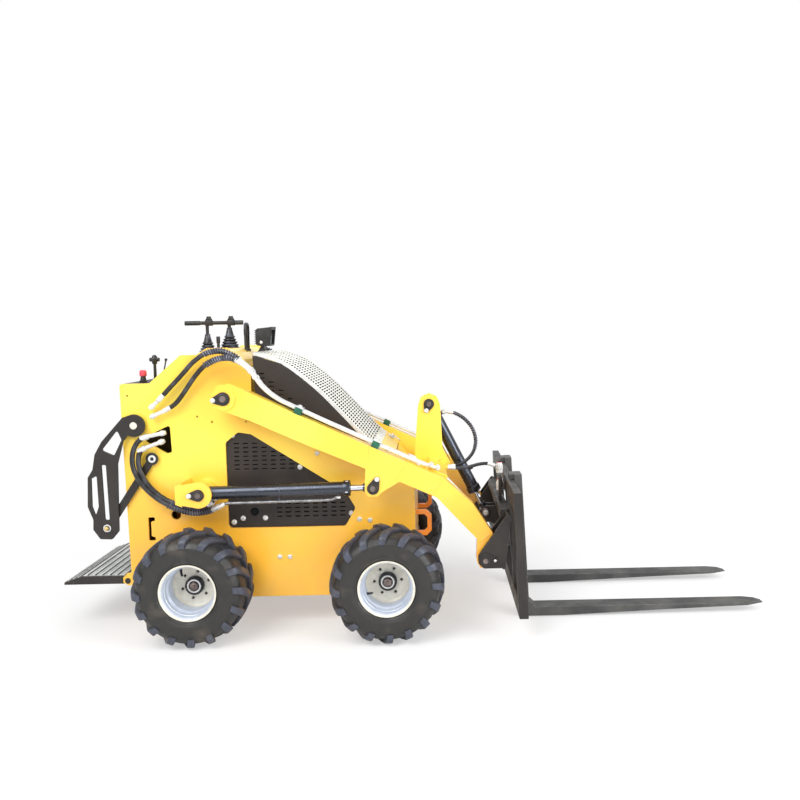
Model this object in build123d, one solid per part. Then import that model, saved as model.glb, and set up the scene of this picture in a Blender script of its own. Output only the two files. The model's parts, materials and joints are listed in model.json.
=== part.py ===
from build123d import *
import math
import os

# Compact stand-on skid steer loader with pallet forks and a fold-up platform.
# Millimetres. +X is the way it drives, +Y its left, +Z up. The ground is Z = 0.
# X is measured here from between the axles and shifted at the end, so
# that the finished machine is centred on the middle of its own length. Pieces are
# drawn for the right-hand side (Y below 0) and mirrored for the left.

MID_X = -464.0          # where the drawing's X = 0 lies in the finished machine

# ---- driving dimensions -------------------------------------------------------
AXLES_X = (-370.0, 362.0)       # rear and front
TRACK = 890.0           # between tyre middles
TYRE_DIA = 434.0        # a lugged 8 inch tyre on a 7 inch wide rim
TYRE_WIDTH = 204.0
TYRE_SIDES = 16         # flats round the carcass
LUG_COUNT = 16          # lugs in each of the two rows
LUG_SKEW = 33.0
RIM_FLANGE_R = 106.5
RIM_SEAT_R = 95.8
DISC_Y = -34.0          # wheel disc, inboard of the rim's middle
AXLE_Z = TYRE_DIA / 2

SIDE_Y = 285.0          # outer face of the side plates
PLATE = 10.0            # side plate thickness
IN_Y = SIDE_Y - PLATE
BELLY_Z = 119.0
FRONT_X = 467.0

ARM_IN = 347.0          # inner and outer faces of each lift arm
ARM_OUT = 403.0
ARM_Y = (ARM_IN + ARM_OUT) / 2
ARM_PIVOT = (-242.0, 922.0)
ARM_PIN_R = 20.0
LIFT_BASE = (-349.0, 558.0)
LIFT_EYE = (312.0, 569.0)
LIFT_TUBE_R = 26.0
LIFT_PIN_R = 16.0
TILT_BASE = (528.0, 857.0)
TILT_EYE = (763.0, 386.0)
TILT_TUBE_R = 25.0
TILT_PIN_R = 15.0
ROD_R = 12.5
CARRY_PIVOT = (737.0, 285.0)
CARRY_PIN_R = 18.0
RUN_FIT = 0.05          # clearance round a turning pin or a sliding rod

CARRIAGE_W = 1060.0
FORK_SPACING = 430.0
FORK_W = 80.0
FORK_TIP_X = 1884.0
FORK_LOW = 4.0
FORK_ROOT = 36.0        # blade thickness at its root
FORK_TIP = 9.0

GUARD_PIVOT = (-619.0, 816.0)
GUARD_BOLT = (-741.0, 413.0)
STAY_PIVOT = (-557.0, 683.0)
GUARD_IN = 300.0
GUARD_OUT = 308.0

PLATFORM_HINGE = (-684.0, 190.0)
PLATFORM_HALF = 268.0
HINGE_R = 12.0
TIE_DOWN = (-477.0, 456.0)
TIE_DOWN_R = 19.0

# ---- small helpers ------------------------------------------------------------


def outline(points, radius=0.0):
    """A flat face bounded by a line through the points, its corners rounded."""
    ahead = points[1:] + points[:1]
    turn = sum(a[0] * b[1] - b[0] * a[1] for a, b in zip(points, ahead))
    if turn < 0:
        points = points[::-1]
    if radius:
        return make_face(FilletPolyline(*points, radius=radius, close=True))
    return make_face(Polyline(*points, close=True))


def wall(face, y_from, y_to):
    """A plate drawn in side view and standing between two widths."""
    low = min(y_from, y_to)
    high = max(y_from, y_to)
    return extrude(Plane.XZ.offset(-high) * face, amount=high - low, dir=(0, -1, 0))


def box(x, y, z):
    """A block between two ends along each axis."""
    size = (x[1] - x[0], y[1] - y[0], z[1] - z[0])
    return Pos((x[0] + x[1]) / 2, (y[0] + y[1]) / 2, (z[0] + z[1]) / 2) * Box(*size)


def across(point, radius, y_from, y_to):
    """A round bar along Y at a place in side view."""
    bar = Cylinder(radius, abs(y_to - y_from), rotation=(90, 0, 0))
    return Pos(point[0], (y_from + y_to) / 2, point[1]) * bar


def rod_between(a, b, y, radius):
    """A round bar lying in a side plane, from one place to another."""
    dx = b[0] - a[0]
    dz = b[1] - a[1]
    bar = Cylinder(radius, math.hypot(dx, dz), rotation=(0, math.degrees(math.atan2(dx, dz)), 0))
    return Pos((a[0] + b[0]) / 2, y, (a[1] + b[1]) / 2) * bar


def along(a, b, distance):
    """A place a distance from a on the way to b."""
    part = distance / math.hypot(b[0] - a[0], b[1] - a[1])
    return (a[0] + (b[0] - a[0]) * part, a[1] + (b[1] - a[1]) * part)


def arc_radii(points):
    """Largest smooth radius at each inner point of a hose's route."""
    radii = []
    for before, here, after in zip(points, points[1:], points[2:]):
        first = Vector(*here) - Vector(*before)
        second = Vector(*after) - Vector(*here)
        turn = math.radians(first.get_angle(second))
        radii.append(0.45 * min(first.length, second.length) / math.tan(turn / 2))
    return radii


def hose(name, points, diameter):
    """A hose or pipe: straight runs joined by arcs that meet them smoothly."""
    radii = arc_radii(points)
    line = FilletPolyline(*points, radius=radii)
    tube = sweep(Plane(origin=line @ 0, z_dir=line % 0) * Circle(diameter / 2), path=line)
    print(name, "length", round(line.length), "smallest radius", round(min(radii)))
    return tube


def other_side(shape):
    """The same piece on the other side of the machine."""
    return mirror(shape, about=Plane.XZ)


def both_sides(*pieces):
    """Separate pieces and their mirror images."""
    return Compound(children=list(pieces) + [other_side(piece) for piece in pieces])


def keeper(pin, pin_radius, bolt, face_y):
    """A pin's end, its teardrop keeper plate and the bolt, on a face at face_y."""
    dx = bolt[0] - pin[0]
    dz = bolt[1] - pin[1]
    reach = math.hypot(dx, dz)
    nx = -dz / reach
    nz = dx / reach
    wide = pin_radius + 9
    narrow = 11.0
    blade = outline([
        (pin[0] + nx * wide * 0.9, pin[1] + nz * wide * 0.9), (bolt[0] + nx * narrow, bolt[1] + nz * narrow),
        (bolt[0] - nx * narrow, bolt[1] - nz * narrow), (pin[0] - nx * wide * 0.9, pin[1] - nz * wide * 0.9),
    ])
    piece = wall(blade, face_y - 5, face_y)
    piece += across(pin, wide, face_y - 5, face_y)
    piece += across(bolt, narrow, face_y - 5, face_y)
    piece += across(pin, pin_radius, face_y - 9, face_y)
    piece += across(bolt, 7, face_y - 11, face_y)
    return piece


def keep(node, shape):
    """Move a finished piece into the machine's own frame and write it."""
    export_step(Pos(MID_X, 0, 0) * shape, "parts/" + node + ".step")


# ---- body ----------------------------------------------------------------------

SIDE_OUTLINE = [
    (-675, 978), (-559, 978), (-434, 1086), (-372, 1086), (-330, 1112), (-250, 1112),
    (-190, 1066), (-164, 1030), (-164, 905), (300, 690), (385, 650), (467, 545),
    (467, 205), (380, BELLY_Z), (-560, BELLY_Z), (-664, 205),
]
GRILLE_OPENING = [
    (-272, 398), (-272, 740), (-222, 780), (-172, 772), (196, 534), (232, 470), (190, 398),
]
HOSE_OPENING = [(-486, 814), (-482, 706), (-502, 702), (-582, 750), (-582, 768)]
HAND_SLOT = [(-588, 448), (-562, 448), (-562, 434), (-577, 430), (-577, 372), (-562, 368), (-562, 354), (-588, 354)]
SMALL_HOLES = [(-647, 931), (-378, 844), (-321, 823), (-188, 822)]


def side_plate():
    """Right-hand side plate: hump over the arm pivot, openings, cylinder bracket."""
    plate = wall(outline(SIDE_OUTLINE, 12), -SIDE_Y, -IN_Y)
    reach = (-SIDE_Y - 30, -IN_Y + 1)
    plate += across(ARM_PIVOT, 40, -SIDE_Y - 10, -IN_Y)
    plate -= wall(outline(GRILLE_OPENING, 16), *reach)
    plate -= wall(outline(HOSE_OPENING, 8), *reach)
    plate -= wall(outline(HAND_SLOT, 4), *reach)
    plate -= across(TIE_DOWN, TIE_DOWN_R, *reach)
    plate -= across(ARM_PIVOT, ARM_PIN_R + RUN_FIT, *reach)
    for x in AXLES_X:
        plate -= across((x, AXLE_Z), 45, *reach)
    for hole in SMALL_HOLES:
        plate -= across(hole, 4, *reach)
    web = wall(outline([(-436, 524), (-412, 514), (-412, 604), (-436, 594)]), -SIDE_Y - 131, -SIDE_Y)
    ear = wall(outline([(-436, 524), (-349, 508), (-349, 608), (-436, 594)]), -SIDE_Y - 131, -SIDE_Y - 121)
    ear += across(LIFT_BASE, 50, -SIDE_Y - 131, -SIDE_Y - 121)
    foot = across(LIFT_BASE, 38, -SIDE_Y - 62, -SIDE_Y)
    plate = plate + web + ear + foot
    plate += across(STAY_PIVOT, 14, -SIDE_Y - 6, -SIDE_Y)
    plate += across(STAY_PIVOT, 6, -SIDE_Y - 13, -SIDE_Y)
    plate += across(GUARD_PIVOT, 20, -SIDE_Y - 14.5, -SIDE_Y)
    plate += across(GUARD_PIVOT, 9, -SIDE_Y - 24, -SIDE_Y)
    return plate


def base_pins():
    """Fixed pins that carry the lift cylinders' tails, with their keepers."""
    pin = across(LIFT_BASE, LIFT_PIN_R, -SIDE_Y - 121, -SIDE_Y - 62)
    cap = keeper(LIFT_BASE, LIFT_PIN_R, (-383, 557), -SIDE_Y - 131)
    return both_sides(pin, cap)


def chassis():
    """Belly pan, front wall and slopes, and the two axle housings, one weldment."""
    pan = [(-664, 222), (-664, 205), (-560, BELLY_Z), (380, BELLY_Z), (467, 205), (467, 545),
           (385, 650), (376, 643), (455, 541), (455, 210), (375, 131), (-555, 131), (-652, 211), (-652, 222)]
    body = wall(outline(pan), -IN_Y, IN_Y)
    cheek = [(-654, 222), (-654, 172), (-684, 172), (-702, 184), (-702, 204), (-684, 222)]
    lug = wall(outline(cheek), -IN_Y, -IN_Y + 6)
    lug -= across(PLATFORM_HINGE, HINGE_R + RUN_FIT, -IN_Y - 1, -IN_Y + 7)
    body = body + lug + other_side(lug)
    for x in AXLES_X:
        body += across((x, AXLE_Z), 44.9, -SIDE_Y - 3, SIDE_Y + 3)
        body += box((x - 30, x + 30), (-IN_Y, IN_Y), (131, AXLE_Z - 30))
    return body


def rear_panel():
    """Rear wall in front of the rider's knees, with cooling slots, and its shelf."""
    panel = box((-664, -656), (-IN_Y, IN_Y), (222, 978))
    panel += box((-656, -559), (-IN_Y, IN_Y), (968, 978))
    for row in range(7):
        z = 420 + row * 26
        for y in (-120, 0, 120):
            panel -= box((-670, -650), (y - 48, y + 48), (z, z + 9))
    return panel


def tow_rings():
    """Two welded rings on the front wall."""
    ring_points = [(467, 452), (512, 452), (532, 432), (532, 368), (512, 348), (467, 348)]
    hole_points = [(467, 434), (503, 434), (515, 422), (515, 378), (503, 366), (467, 366)]
    ring = wall(outline(ring_points), -262, -244)
    ring -= wall(outline(hole_points), -263, -243)
    return both_sides(ring)


SLOT = (21.0, 6.0)      # slots in the side panels, long and high
SLOT_PITCH = (36.0, 17.0)


def slotted(panel, cells, y_mid):
    """Cut a slot at each place of a grid, given as (x, z)."""
    slots = []
    for x, z in cells:
        slots.append(Pos(x, y_mid, z) * Box(SLOT[0], 30, SLOT[1]))
    return panel - slots


def side_grilles():
    """Punched panels behind the side openings and beside the bonnet."""
    lower = [(-290, 384), (-290, 750), (-226, 800), (-160, 786), (214, 545), (250, 470), (204, 384)]
    panel = wall(outline(lower, 14), -IN_Y, -IN_Y + 4)
    cells = []
    for row in range(7):
        z = 632 + row * SLOT_PITCH[1]
        count = 9 - round(row * 1.05)
        cells += [(-232 + n * SLOT_PITCH[0], z) for n in range(count)]
    for row in range(4):
        z = 440 + row * SLOT_PITCH[1]
        cells += [(-72 + n * SLOT_PITCH[0], z) for n in range(8)]
    panel = slotted(panel, cells, -IN_Y + 2)
    panel -= across((-169, 462), 17, -IN_Y - 1, -IN_Y + 5)
    cheek_points = [(x - 6, z - 10) for x, z in BONNET] + [(372, 644), (300, 678), (-150, 886)]
    cheek = wall(outline(cheek_points), -IN_Y + 7, -IN_Y + 11)
    cells = []
    for column in range(12):
        x = -124 + column * SLOT_PITCH[0]
        top = 1040 - 0.92 * (x + 124) - 18
        low = 948 - 0.462 * (x + 124)
        for row in range(max(0, int((top - low) / SLOT_PITCH[1]))):
            cells.append((x, low + (row + 0.5) * SLOT_PITCH[1]))
    cheek = slotted(cheek, cells, -IN_Y + 9)
    return both_sides(panel, cheek)


BONNET = [(-152, 1090), (-40, 1056), (90, 952), (210, 822), (300, 722), (385, 662)]
BONNET_HALF = 268.0


def bonnet():
    """Curved perforated bonnet over the engine, cut in rows of long slots."""
    points = [(x, 0, z) for x, z in BONNET]
    line = FilletPolyline(*points, radius=arc_radii(points))
    strip = Plane(origin=line @ 0, x_dir=(0, 1, 0), z_dir=line % 0) * Rectangle(2 * BONNET_HALF, 5)
    sheet = sweep(strip, path=line)
    slots = []
    rows = 20
    for row in range(rows):
        part = (row + 1) / (rows + 1)
        at = line @ part
        way = line % part
        lean = math.degrees(math.atan2(-way.Z, way.X))
        for y in (-203, -101.5, 0, 101.5, 203):
            slots.append(Pos(at.X, y, at.Z) * Rot(0, lean, 0) * Box(12, 86, 20))
    return sheet - slots


def engine_block():
    """Engine as one plain block in its place under the bonnet."""
    return box((-120, 230), (-190, 190), (200, 640))


CONSOLE = [
    (-556, 978), (-434, 1081), (-360, 1081), (-330, 1107), (-252, 1107), (-194, 1063),
    (-170, 1028), (-170, 930), (-556, 930),
]


POST = (-351.0, -30.0)
LOOP_X = -238.0
LOOP_HALF = 24.0


def console():
    """Control tower between the humps, with sockets for the hand loop and post."""
    tower = wall(outline(CONSOLE, 8), -IN_Y, IN_Y)
    tower -= Pos(*POST, 1100) * Cylinder(7 + RUN_FIT, 60)
    for y in (-LOOP_HALF, LOOP_HALF):
        tower -= Pos(LOOP_X, y, 1100) * Cylinder(6 + RUN_FIT, 60)
    return tower


LEVER_X = (-403.0, -310.0)
LEVER_FOOT = (1081.0, 1107.0)


def knob(x, y, z, radius, height):
    """A turned knob with rounded edges."""
    body = Pos(x, y, z) * Cylinder(radius, height)
    return chamfer(body.edges(), radius * 0.3)


def control_bar():
    """Drive bar on its two levers, their knobs, and the bent hand loop ahead."""
    bar = Pos(-374, 0, 1213) * Cylinder(9, 244, rotation=(0, 90, 0))
    for x, foot in zip(LEVER_X, LEVER_FOOT):
        bar += Pos(x, 0, (foot + 66 + 1213) / 2) * Cylinder(7, 1213 - foot - 66)
        bar += knob(x + 8, 0, 1228, 14, 26)
    post = Pos(*POST, 1114) * Cylinder(7, 84)
    near, far = (LOOP_X, -LOOP_HALF), (LOOP_X, LOOP_HALF)
    line = FilletPolyline((*near, 1072), (*near, 1206), (*far, 1206), (*far, 1072), radius=14)
    loop = sweep(Plane(origin=line @ 0, z_dir=line % 0) * Circle(6), path=line)
    return Compound(children=[bar, post, loop])


def control_boots():
    """Two ribbed rubber boots at the feet of the levers."""
    boots = []
    for x, foot in zip(LEVER_X, LEVER_FOOT):
        section = [(7.3, 0), (38, 0)]
        for rib in range(5):
            radius = 37 - rib * 5.5
            section += [(radius, 4 + rib * 15), (radius - 5, 9 + rib * 15)]
        section += [(12, 84), (7.3, 84)]
        boot = revolve(Plane.XZ * outline(section), axis=Axis.Z)
        boots.append(Pos(x, 0, foot) * boot)
    return Compound(children=boots)


def work_lamp():
    """Square work lamp with a visor, open at the front for its lens."""
    side = [(-192, 1122), (-184, 1114), (-136, 1112), (-132, 1116), (-124, 1192), (-184, 1186), (-192, 1178)]
    shell = wall(outline(side), -46, 46) - box((-150, -120), (-38, 38), (1120, 1180))
    foot = [(-202, 1069.5), (-194, 1063.4), (-180, 1043.2), (-160, 1113), (-172, 1116)]
    return shell + wall(outline(foot), -24, 24)


def lamp_lens():
    """Clear lens in the work lamp."""
    return box((-150, -140), (-37.7, 37.7), (1120.3, 1179.7))


def console_switches():
    """Stop knob, crossed throttle knob and a thin lever on the rear shelf."""
    stop = Pos(-618, -180, 994) * Cylinder(9, 32) + knob(-618, -180, 1018, 19, 18)
    cross = Pos(-590, -120, 1018) * Cylinder(6, 80) + Pos(-590, -120, 1066) * Box(44, 16, 16)
    cross += Pos(-590, -120, 1066) * Box(16, 16, 42)
    lever = Pos(-541, -150, 1031) * Rot(0, 12, 0) * Cylinder(3, 62)
    return Compound(children=[stop, cross, lever])


def wheel_hubs():
    """Drive hubs standing out of the side plates, with spigots for the wheels."""
    hubs = []
    disc_back = TRACK / 2 + DISC_Y - 4.3
    for x in AXLES_X:
        hub = across((x, AXLE_Z), 36, -SIDE_Y - 3, -disc_back)
        hub += across((x, AXLE_Z), 52, -disc_back + 14, -disc_back)
        hub += across((x, AXLE_Z), 22, -disc_back - 20, -disc_back)
        hubs.append(hub)
    return both_sides(*hubs)


# ---- lift arms ------------------------------------------------------------------

ARM_OUTLINE = [
    (-266, 972), (-218, 978), (-142, 942), (30, 858), (301, 733), (582, 603), (692, 503),
    (768, 385), (775, 280), (752, 250), (716, 252), (704, 285), (707, 365), (640, 436), (556, 529),
    (402, 599), (298, 640), (167, 697), (62, 742), (-146, 838), (-226, 868), (-282, 880), (-294, 930),
]
EYE_LUG = [(296, 660), (284, 640), (280, 560), (296, 538), (328, 538), (348, 556), (418, 596), (440, 630)]


def lift_arm():
    """Right-hand lift arm, a box section cranked down to the carriage."""
    arm = wall(outline(ARM_OUTLINE, 8), -ARM_OUT, -ARM_IN)
    arm -= wall(outline([(284, 606), (282, 500), (420, 500), (420, 592), (402, 599), (298, 640)]), -ARM_Y - 16, -ARM_Y + 16)
    lug = outline(EYE_LUG, 8)
    for y in (-ARM_OUT, -ARM_IN - 12):
        arm += wall(lug, y, y + 12)
    arm += across(ARM_PIVOT, 44, -ARM_OUT - 6, -ARM_IN + 6)
    arm += across(CARRY_PIVOT, 33, -ARM_OUT - 3, -ARM_IN + 3)
    arm -= across(CARRY_PIVOT, CARRY_PIN_R + RUN_FIT, -ARM_OUT - 4, -ARM_IN + 4)
    return arm


def arm_pins():
    """Pivot pins of the arms, and the keepers of every pin that the arms carry."""
    pivot = across(ARM_PIVOT, ARM_PIN_R, -ARM_IN + 6, -IN_Y - 0.5)
    shoulder = keeper(ARM_PIVOT, 19, (-280, 917), -ARM_OUT - 6)
    eye = keeper(LIFT_EYE, LIFT_PIN_R, (328, 605), -ARM_OUT)
    tower = keeper(TILT_BASE, TILT_PIN_R, (518, 886), -TOWER_OUT)
    return both_sides(pivot, shoulder, eye, tower)


TOWER_IN = 36.0
TOWER_OUT = 48.0
TOWER = [
    (482, 850), (494, 882), (528, 897), (562, 882), (576, 846), (582, 672), (616, 604),
    (580, 556), (500, 566), (464, 643),
]


def cross_member():
    """Cross tube between the arms, and the two cheeks that hold the tilt cylinder."""
    tube = Pos(545, 0, 582) * Rot(0, 25, 0) * Box(76, 2 * ARM_IN, 76)
    cheek = wall(outline(TOWER, 12), -TOWER_OUT, -TOWER_IN)
    cheek -= across(TILT_BASE, TILT_PIN_R + RUN_FIT, -TOWER_OUT - 1, -TOWER_IN + 1)
    tube += rod_between((575, 590), (603, 594), -80, 9)
    tube += rod_between((575, 590), (603, 594), -104, 9)
    return tube + cheek + other_side(cheek)


PIPE_D = 12.0
PIPES = [
    # (x, y, z) from the hump, down the arm's back and in to the cross tube
    [(-144, -364, 1032), (-94, -364, 958), (-40, -364, 914), (150, -364, 821), (420, -364, 696),
     (500, -364, 659), (545, -361, 640), (560, -340, 634), (560, -306, 632)],
    [(-148, -388, 1034), (-98, -388, 960), (-44, -388, 916), (146, -388, 823), (400, -388, 705),
     (476, -388, 670), (520, -385, 652), (535, -350, 646), (535, -306, 643)],
]
CLAMP_X = (36.0, 322.0)


def arm_top(x):
    """Height of the arm's upper face along its long straight back."""
    if x < 301:
        return 858 - (x - 30) * 125 / 271
    return 733 - (x - 301) * 130 / 281


def arm_pipes():
    """Twin steel pipes along the top of each arm, with their clamp blocks."""
    parts = [hose("pipe", route, PIPE_D) for route in PIPES]
    for x in CLAMP_X:
        foot = arm_top(x) + 0.2
        heel = arm_top(x + 28) + 0.2
        block = wall(outline([(x, foot), (x + 28, heel), (x + 42, heel + 29), (x + 14, foot + 29)]), -402, -350)
        for pipe in parts[:2]:
            block -= pipe
        parts.append(block)
    return both_sides(*parts)


# ---- cylinders ------------------------------------------------------------------


def lift_barrel():
    """Right-hand lift cylinder: tube, gland, tail eye and the oil pipe beneath."""
    start = along(LIFT_BASE, LIFT_EYE, 34)
    gland = along(LIFT_BASE, LIFT_EYE, 545)
    end = along(LIFT_BASE, LIFT_EYE, 572)
    tube = rod_between(start, gland, -ARM_Y, LIFT_TUBE_R)
    tube += rod_between(gland, end, -ARM_Y, LIFT_TUBE_R + 3)
    tube += rod_between(LIFT_BASE, start, -ARM_Y, 20)
    tube += across(LIFT_BASE, 30, -ARM_Y - 20, -ARM_Y + 20)
    tube -= across(LIFT_BASE, LIFT_PIN_R + RUN_FIT, -ARM_Y - 40, -ARM_Y + 40)
    tube -= rod_between(along(LIFT_BASE, LIFT_EYE, 60), along(LIFT_BASE, LIFT_EYE, 580), -ARM_Y, ROD_R + RUN_FIT)
    route = [(-281, -369, 505.5), (-256, -373, 517), (-216, -ARM_Y, 518), (128, -ARM_Y, 522), (164, -ARM_Y, 526), (176, -ARM_Y, 550)]
    tube += hose("oil pipe", route, 10)
    tube += rod_between((-297, 531), (-294, 548), -ARM_Y + 4, 8)
    return tube


def lift_rod():
    """Right-hand lift cylinder: chromed rod and its eye."""
    rod = rod_between(along(LIFT_BASE, LIFT_EYE, 210), along(LIFT_BASE, LIFT_EYE, 645), -ARM_Y, ROD_R)
    rod += rod_between(along(LIFT_BASE, LIFT_EYE, 628), along(LIFT_BASE, LIFT_EYE, 650), -ARM_Y, 14)
    return rod + across(LIFT_EYE, 23, -ARM_Y - 14, -ARM_Y + 14)


def tilt_barrel():
    """Tilt cylinder: tube, gland, port and the trunnion held in the tower."""
    start = along(TILT_BASE, TILT_EYE, 20)
    gland = along(TILT_BASE, TILT_EYE, 404)
    end = along(TILT_BASE, TILT_EYE, 430)
    tube = rod_between(start, gland, 0, TILT_TUBE_R)
    tube += rod_between(gland, end, 0, TILT_TUBE_R + 3)
    tube += across(TILT_BASE, 25, -30, 30)
    tube += across(TILT_BASE, TILT_PIN_R, -TOWER_OUT, TOWER_OUT)
    tube += rod_between(along(TILT_BASE, TILT_EYE, 60), (595, 820), 0, 9)
    return tube - rod_between(along(TILT_BASE, TILT_EYE, 80), along(TILT_BASE, TILT_EYE, 440), 0, ROD_R + RUN_FIT)


def tilt_rod():
    """Tilt cylinder: chromed rod and its eye."""
    rod = rod_between(along(TILT_BASE, TILT_EYE, 180), along(TILT_BASE, TILT_EYE, 510), 0, ROD_R)
    return rod + across(TILT_EYE, 22, -20, 20)


# ---- carriage and forks -----------------------------------------------------------

TOOL_PLATE = [(800, 250), (812, 250), (836, 452), (822, 455)]
EAR = [(764, 383), (709, 306), (709, 274), (730, 254), (810, 254), (834, 452), (822, 462)]
TILT_LUG = [(806, 330), (772, 350), (744, 370), (742, 398), (764, 412), (826, 412)]


def quick_attach():
    """Tool plate at the end of the arms, hung on two pins, with the tilt lugs."""
    outer = -ARM_OUT - 18
    inner = -ARM_IN + 18
    side = wall(outline(EAR, 8), outer, outer + 10)
    side += wall(outline(EAR, 8), inner - 10, inner)
    side += wall(outline(TOOL_PLATE, 3), outer, inner)
    side += across(CARRY_PIVOT, CARRY_PIN_R, outer, inner)
    side += keeper(CARRY_PIVOT, CARRY_PIN_R, (773, 287), outer)
    lug = wall(outline(TILT_LUG, 8), -36, -25)
    plate = wall(outline(TOOL_PLATE, 3), inner, -inner)
    bar = wall(outline([(800, 432), (835, 432), (838, 462), (802, 462)]), inner, -inner)
    return plate + bar + side + other_side(side) + lug + other_side(lug)


def carriage_frame():
    """Wide fork frame: top and bottom bars, end posts and two uprights."""
    half = CARRIAGE_W / 2
    frame = wall(outline([(838, 492), (868, 492), (866, 566), (836, 566)], 3), -half, half)
    frame += wall(outline([(853, 92), (888, 92), (884, 166), (849, 166)], 3), -half, half)
    post = outline([(838, 500), (868, 500), (884, 160), (850, 160)])
    for y in (-half, -350, 310, half - 40):
        frame += wall(post, y, y + 40)
    pad = wall(outline([(838.2, 442), (846, 442), (846, 458), (838.2, 458)]), -350, -310)
    return frame + pad + other_side(pad)


def fork():
    """Right-hand fork: shank hooked on the carriage, bent into a tapering blade."""
    y0 = -FORK_SPACING / 2 - FORK_W / 2
    top_z = FORK_LOW + FORK_ROOT
    shank = outline([
        (867, 586), (896, 586), (921, top_z + 26), (948, top_z), (FORK_TIP_X - 26, top_z), (FORK_TIP_X, top_z - 6),
        (FORK_TIP_X, top_z - FORK_TIP), (1500, top_z - 20), (1060, FORK_LOW), (912, FORK_LOW), (889, FORK_LOW + 22),
        (889, 92), (870, 488), (867, 572),
    ])
    blade = wall(shank, y0, y0 + FORK_W)
    hook = wall(outline([(848, 566.3), (880, 566.3), (880, 586), (848, 586)]), y0 + 8, y0 + FORK_W - 8)
    trim = []
    for sign in (-1, 1):
        edge = y0 + FORK_W / 2 + sign * FORK_W / 2
        corner = Polyline((FORK_TIP_X - 70, edge), (FORK_TIP_X + 5, edge), (FORK_TIP_X + 5, edge - sign * 26), close=True)
        trim.append(extrude(make_face(corner), amount=60, both=True))
    return (blade + hook) - trim


# ---- wheels ----------------------------------------------------------------------

CARCASS = [
    # (vertex radius, distance from the middle of the tyre)
    (98, -77.5), (107.5, -82.5), (142, -TYRE_WIDTH / 2), (177, -98), (201, -76),
    (201, 76), (177, 98), (142, TYRE_WIDTH / 2), (107.5, 82.5), (98, 77.5),
]
LUG_SECTION = [(190, 2), (213, 2), (213, 53), (196, 101), (175, 101)]
LUG_HALF = 14.0         # half a lug's length round the tyre


def flat_ring(points, sides):
    """Closed band of flat faces: a closed section of (radius, y) turned through equal steps."""
    corners = []
    for radius, y in points:
        turns = [math.tau * (n + 0.5) / sides for n in range(sides)]
        corners.append([Vector(radius * math.cos(turn), y, radius * math.sin(turn)) for turn in turns])
    faces = []
    for one, other in zip(corners, corners[1:] + corners[:1]):
        for n in range(sides):
            after = (n + 1) % sides
            faces.append(Face(Wire.make_polygon([one[n], one[after], other[after], other[n]], close=True)))
    return Solid(Shell(faces))


def tyre(x, side):
    """Traction tyre: faceted carcass with two staggered rows of skewed lugs."""
    body = flat_ring(CARCASS, TYRE_SIDES)
    lug = extrude(Plane.XY.offset(-LUG_HALF) * outline(LUG_SECTION), amount=2 * LUG_HALF, dir=(0, 0, 1))
    lug = Rot(LUG_SKEW, 0, 0) * lug
    lugs = []
    for n in range(LUG_COUNT):
        turn = 360 / LUG_COUNT * n
        lugs.append(Rot(0, turn, 0) * lug)
        lugs.append(Rot(0, turn + 180 / LUG_COUNT, 0) * mirror(lug, about=Plane.XZ))
    body = body.fuse(*lugs)
    if side > 0:
        body = Rot(0, 0, 180) * body
    return Pos(x, side * TRACK / 2, AXLE_Z) * Rot(0, 90, 0) * body


RIM_SECTION = [
    # (radius, distance outboard of the rim's middle)
    (RIM_FLANGE_R, 87.5), (RIM_FLANGE_R, 83.7), (RIM_SEAT_R, 78), (RIM_SEAT_R, 46), (87.5, 38), (87.5, -38),
    (RIM_SEAT_R, -46), (RIM_SEAT_R, -78), (RIM_FLANGE_R, -83.7), (RIM_FLANGE_R, -87.5), (92, -83), (91, -52),
    (83, -44), (83, -38), (24, -38), (24, -30), (74, -30), (83, -22), (83, 36), (91, 48), (92, 83),
]


def rim(x, side):
    """Deep-dished disc wheel with six ports, a hub cap and its nut."""
    body = revolve(outline(RIM_SECTION), axis=Axis.Y)
    cap = Pos(0, -17, 0) * Cylinder(35, 26, rotation=(90, 0, 0))
    cap -= Pos(0, -4, 0) * Cylinder(27, 8, rotation=(90, 0, 0))
    cap += Pos(0, -6, 0) * extrude(Plane.XZ * RegularPolygon(18, 6), amount=7, both=True)
    cap -= Pos(0, -32, 0) * Cylinder(22 + RUN_FIT, 36.6, rotation=(90, 0, 0))
    body += cap
    for n in range(6):
        turn = math.radians(60 * n + 30)
        body -= Pos(54 * math.cos(turn), DISC_Y, 54 * math.sin(turn)) * Cylinder(6, 20, rotation=(90, 0, 0))
    if side < 0:
        body = Rot(0, 0, 180) * body
    return Pos(x, side * TRACK / 2, AXLE_Z) * body


# ---- platform and guards -----------------------------------------------------------

RIB_PITCH = 30.0


def platform():
    """Folding rider's platform: tapering pan, ribbed top and its hinge tube."""
    half = PLATFORM_HALF
    pan = wall(outline([(-940, 177), (-700, 177), (-700, 208), (-872, 208), (-940, 186)]), -half, half)
    pan -= box((-860, -706), (-half + 8, half - 8), (170, 198))
    for n in range(5):
        x = -852 + n * RIB_PITCH
        pan += box((x, x + 8), (-half + 12, half - 12), (207, 212))
    hinge = across(PLATFORM_HINGE, HINGE_R, -IN_Y, IN_Y)
    arm = wall(outline([(-702, 178), (-684, 178), (-684, 202), (-702, 202)]), -half, half)
    return pan + arm + hinge


GUARD_HEAD_R = 44.0
GUARD_OUTLINE = [
    (-630, 858), (-662, 848), (-747, 755), (-776, 705), (-787, 646), (-807, 615), (-813, 500),
    (-794, 448), (-796, 408), (-770, 370), (-724, 368), (-696, 400), (-688, 668), (-662, 756), (-640, 782),
]
GRIP_SLOT = [(-794, 610), (-772, 622), (-770, 500), (-784, 462), (-796, 500)]
GUIDE_SLOT = [(-752, 664), (-734, 664), (-730, 446), (-748, 446)]
TOP_SLOT = [(-748, 722), (-700, 700), (-668, 762), (-684, 800)]


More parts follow.
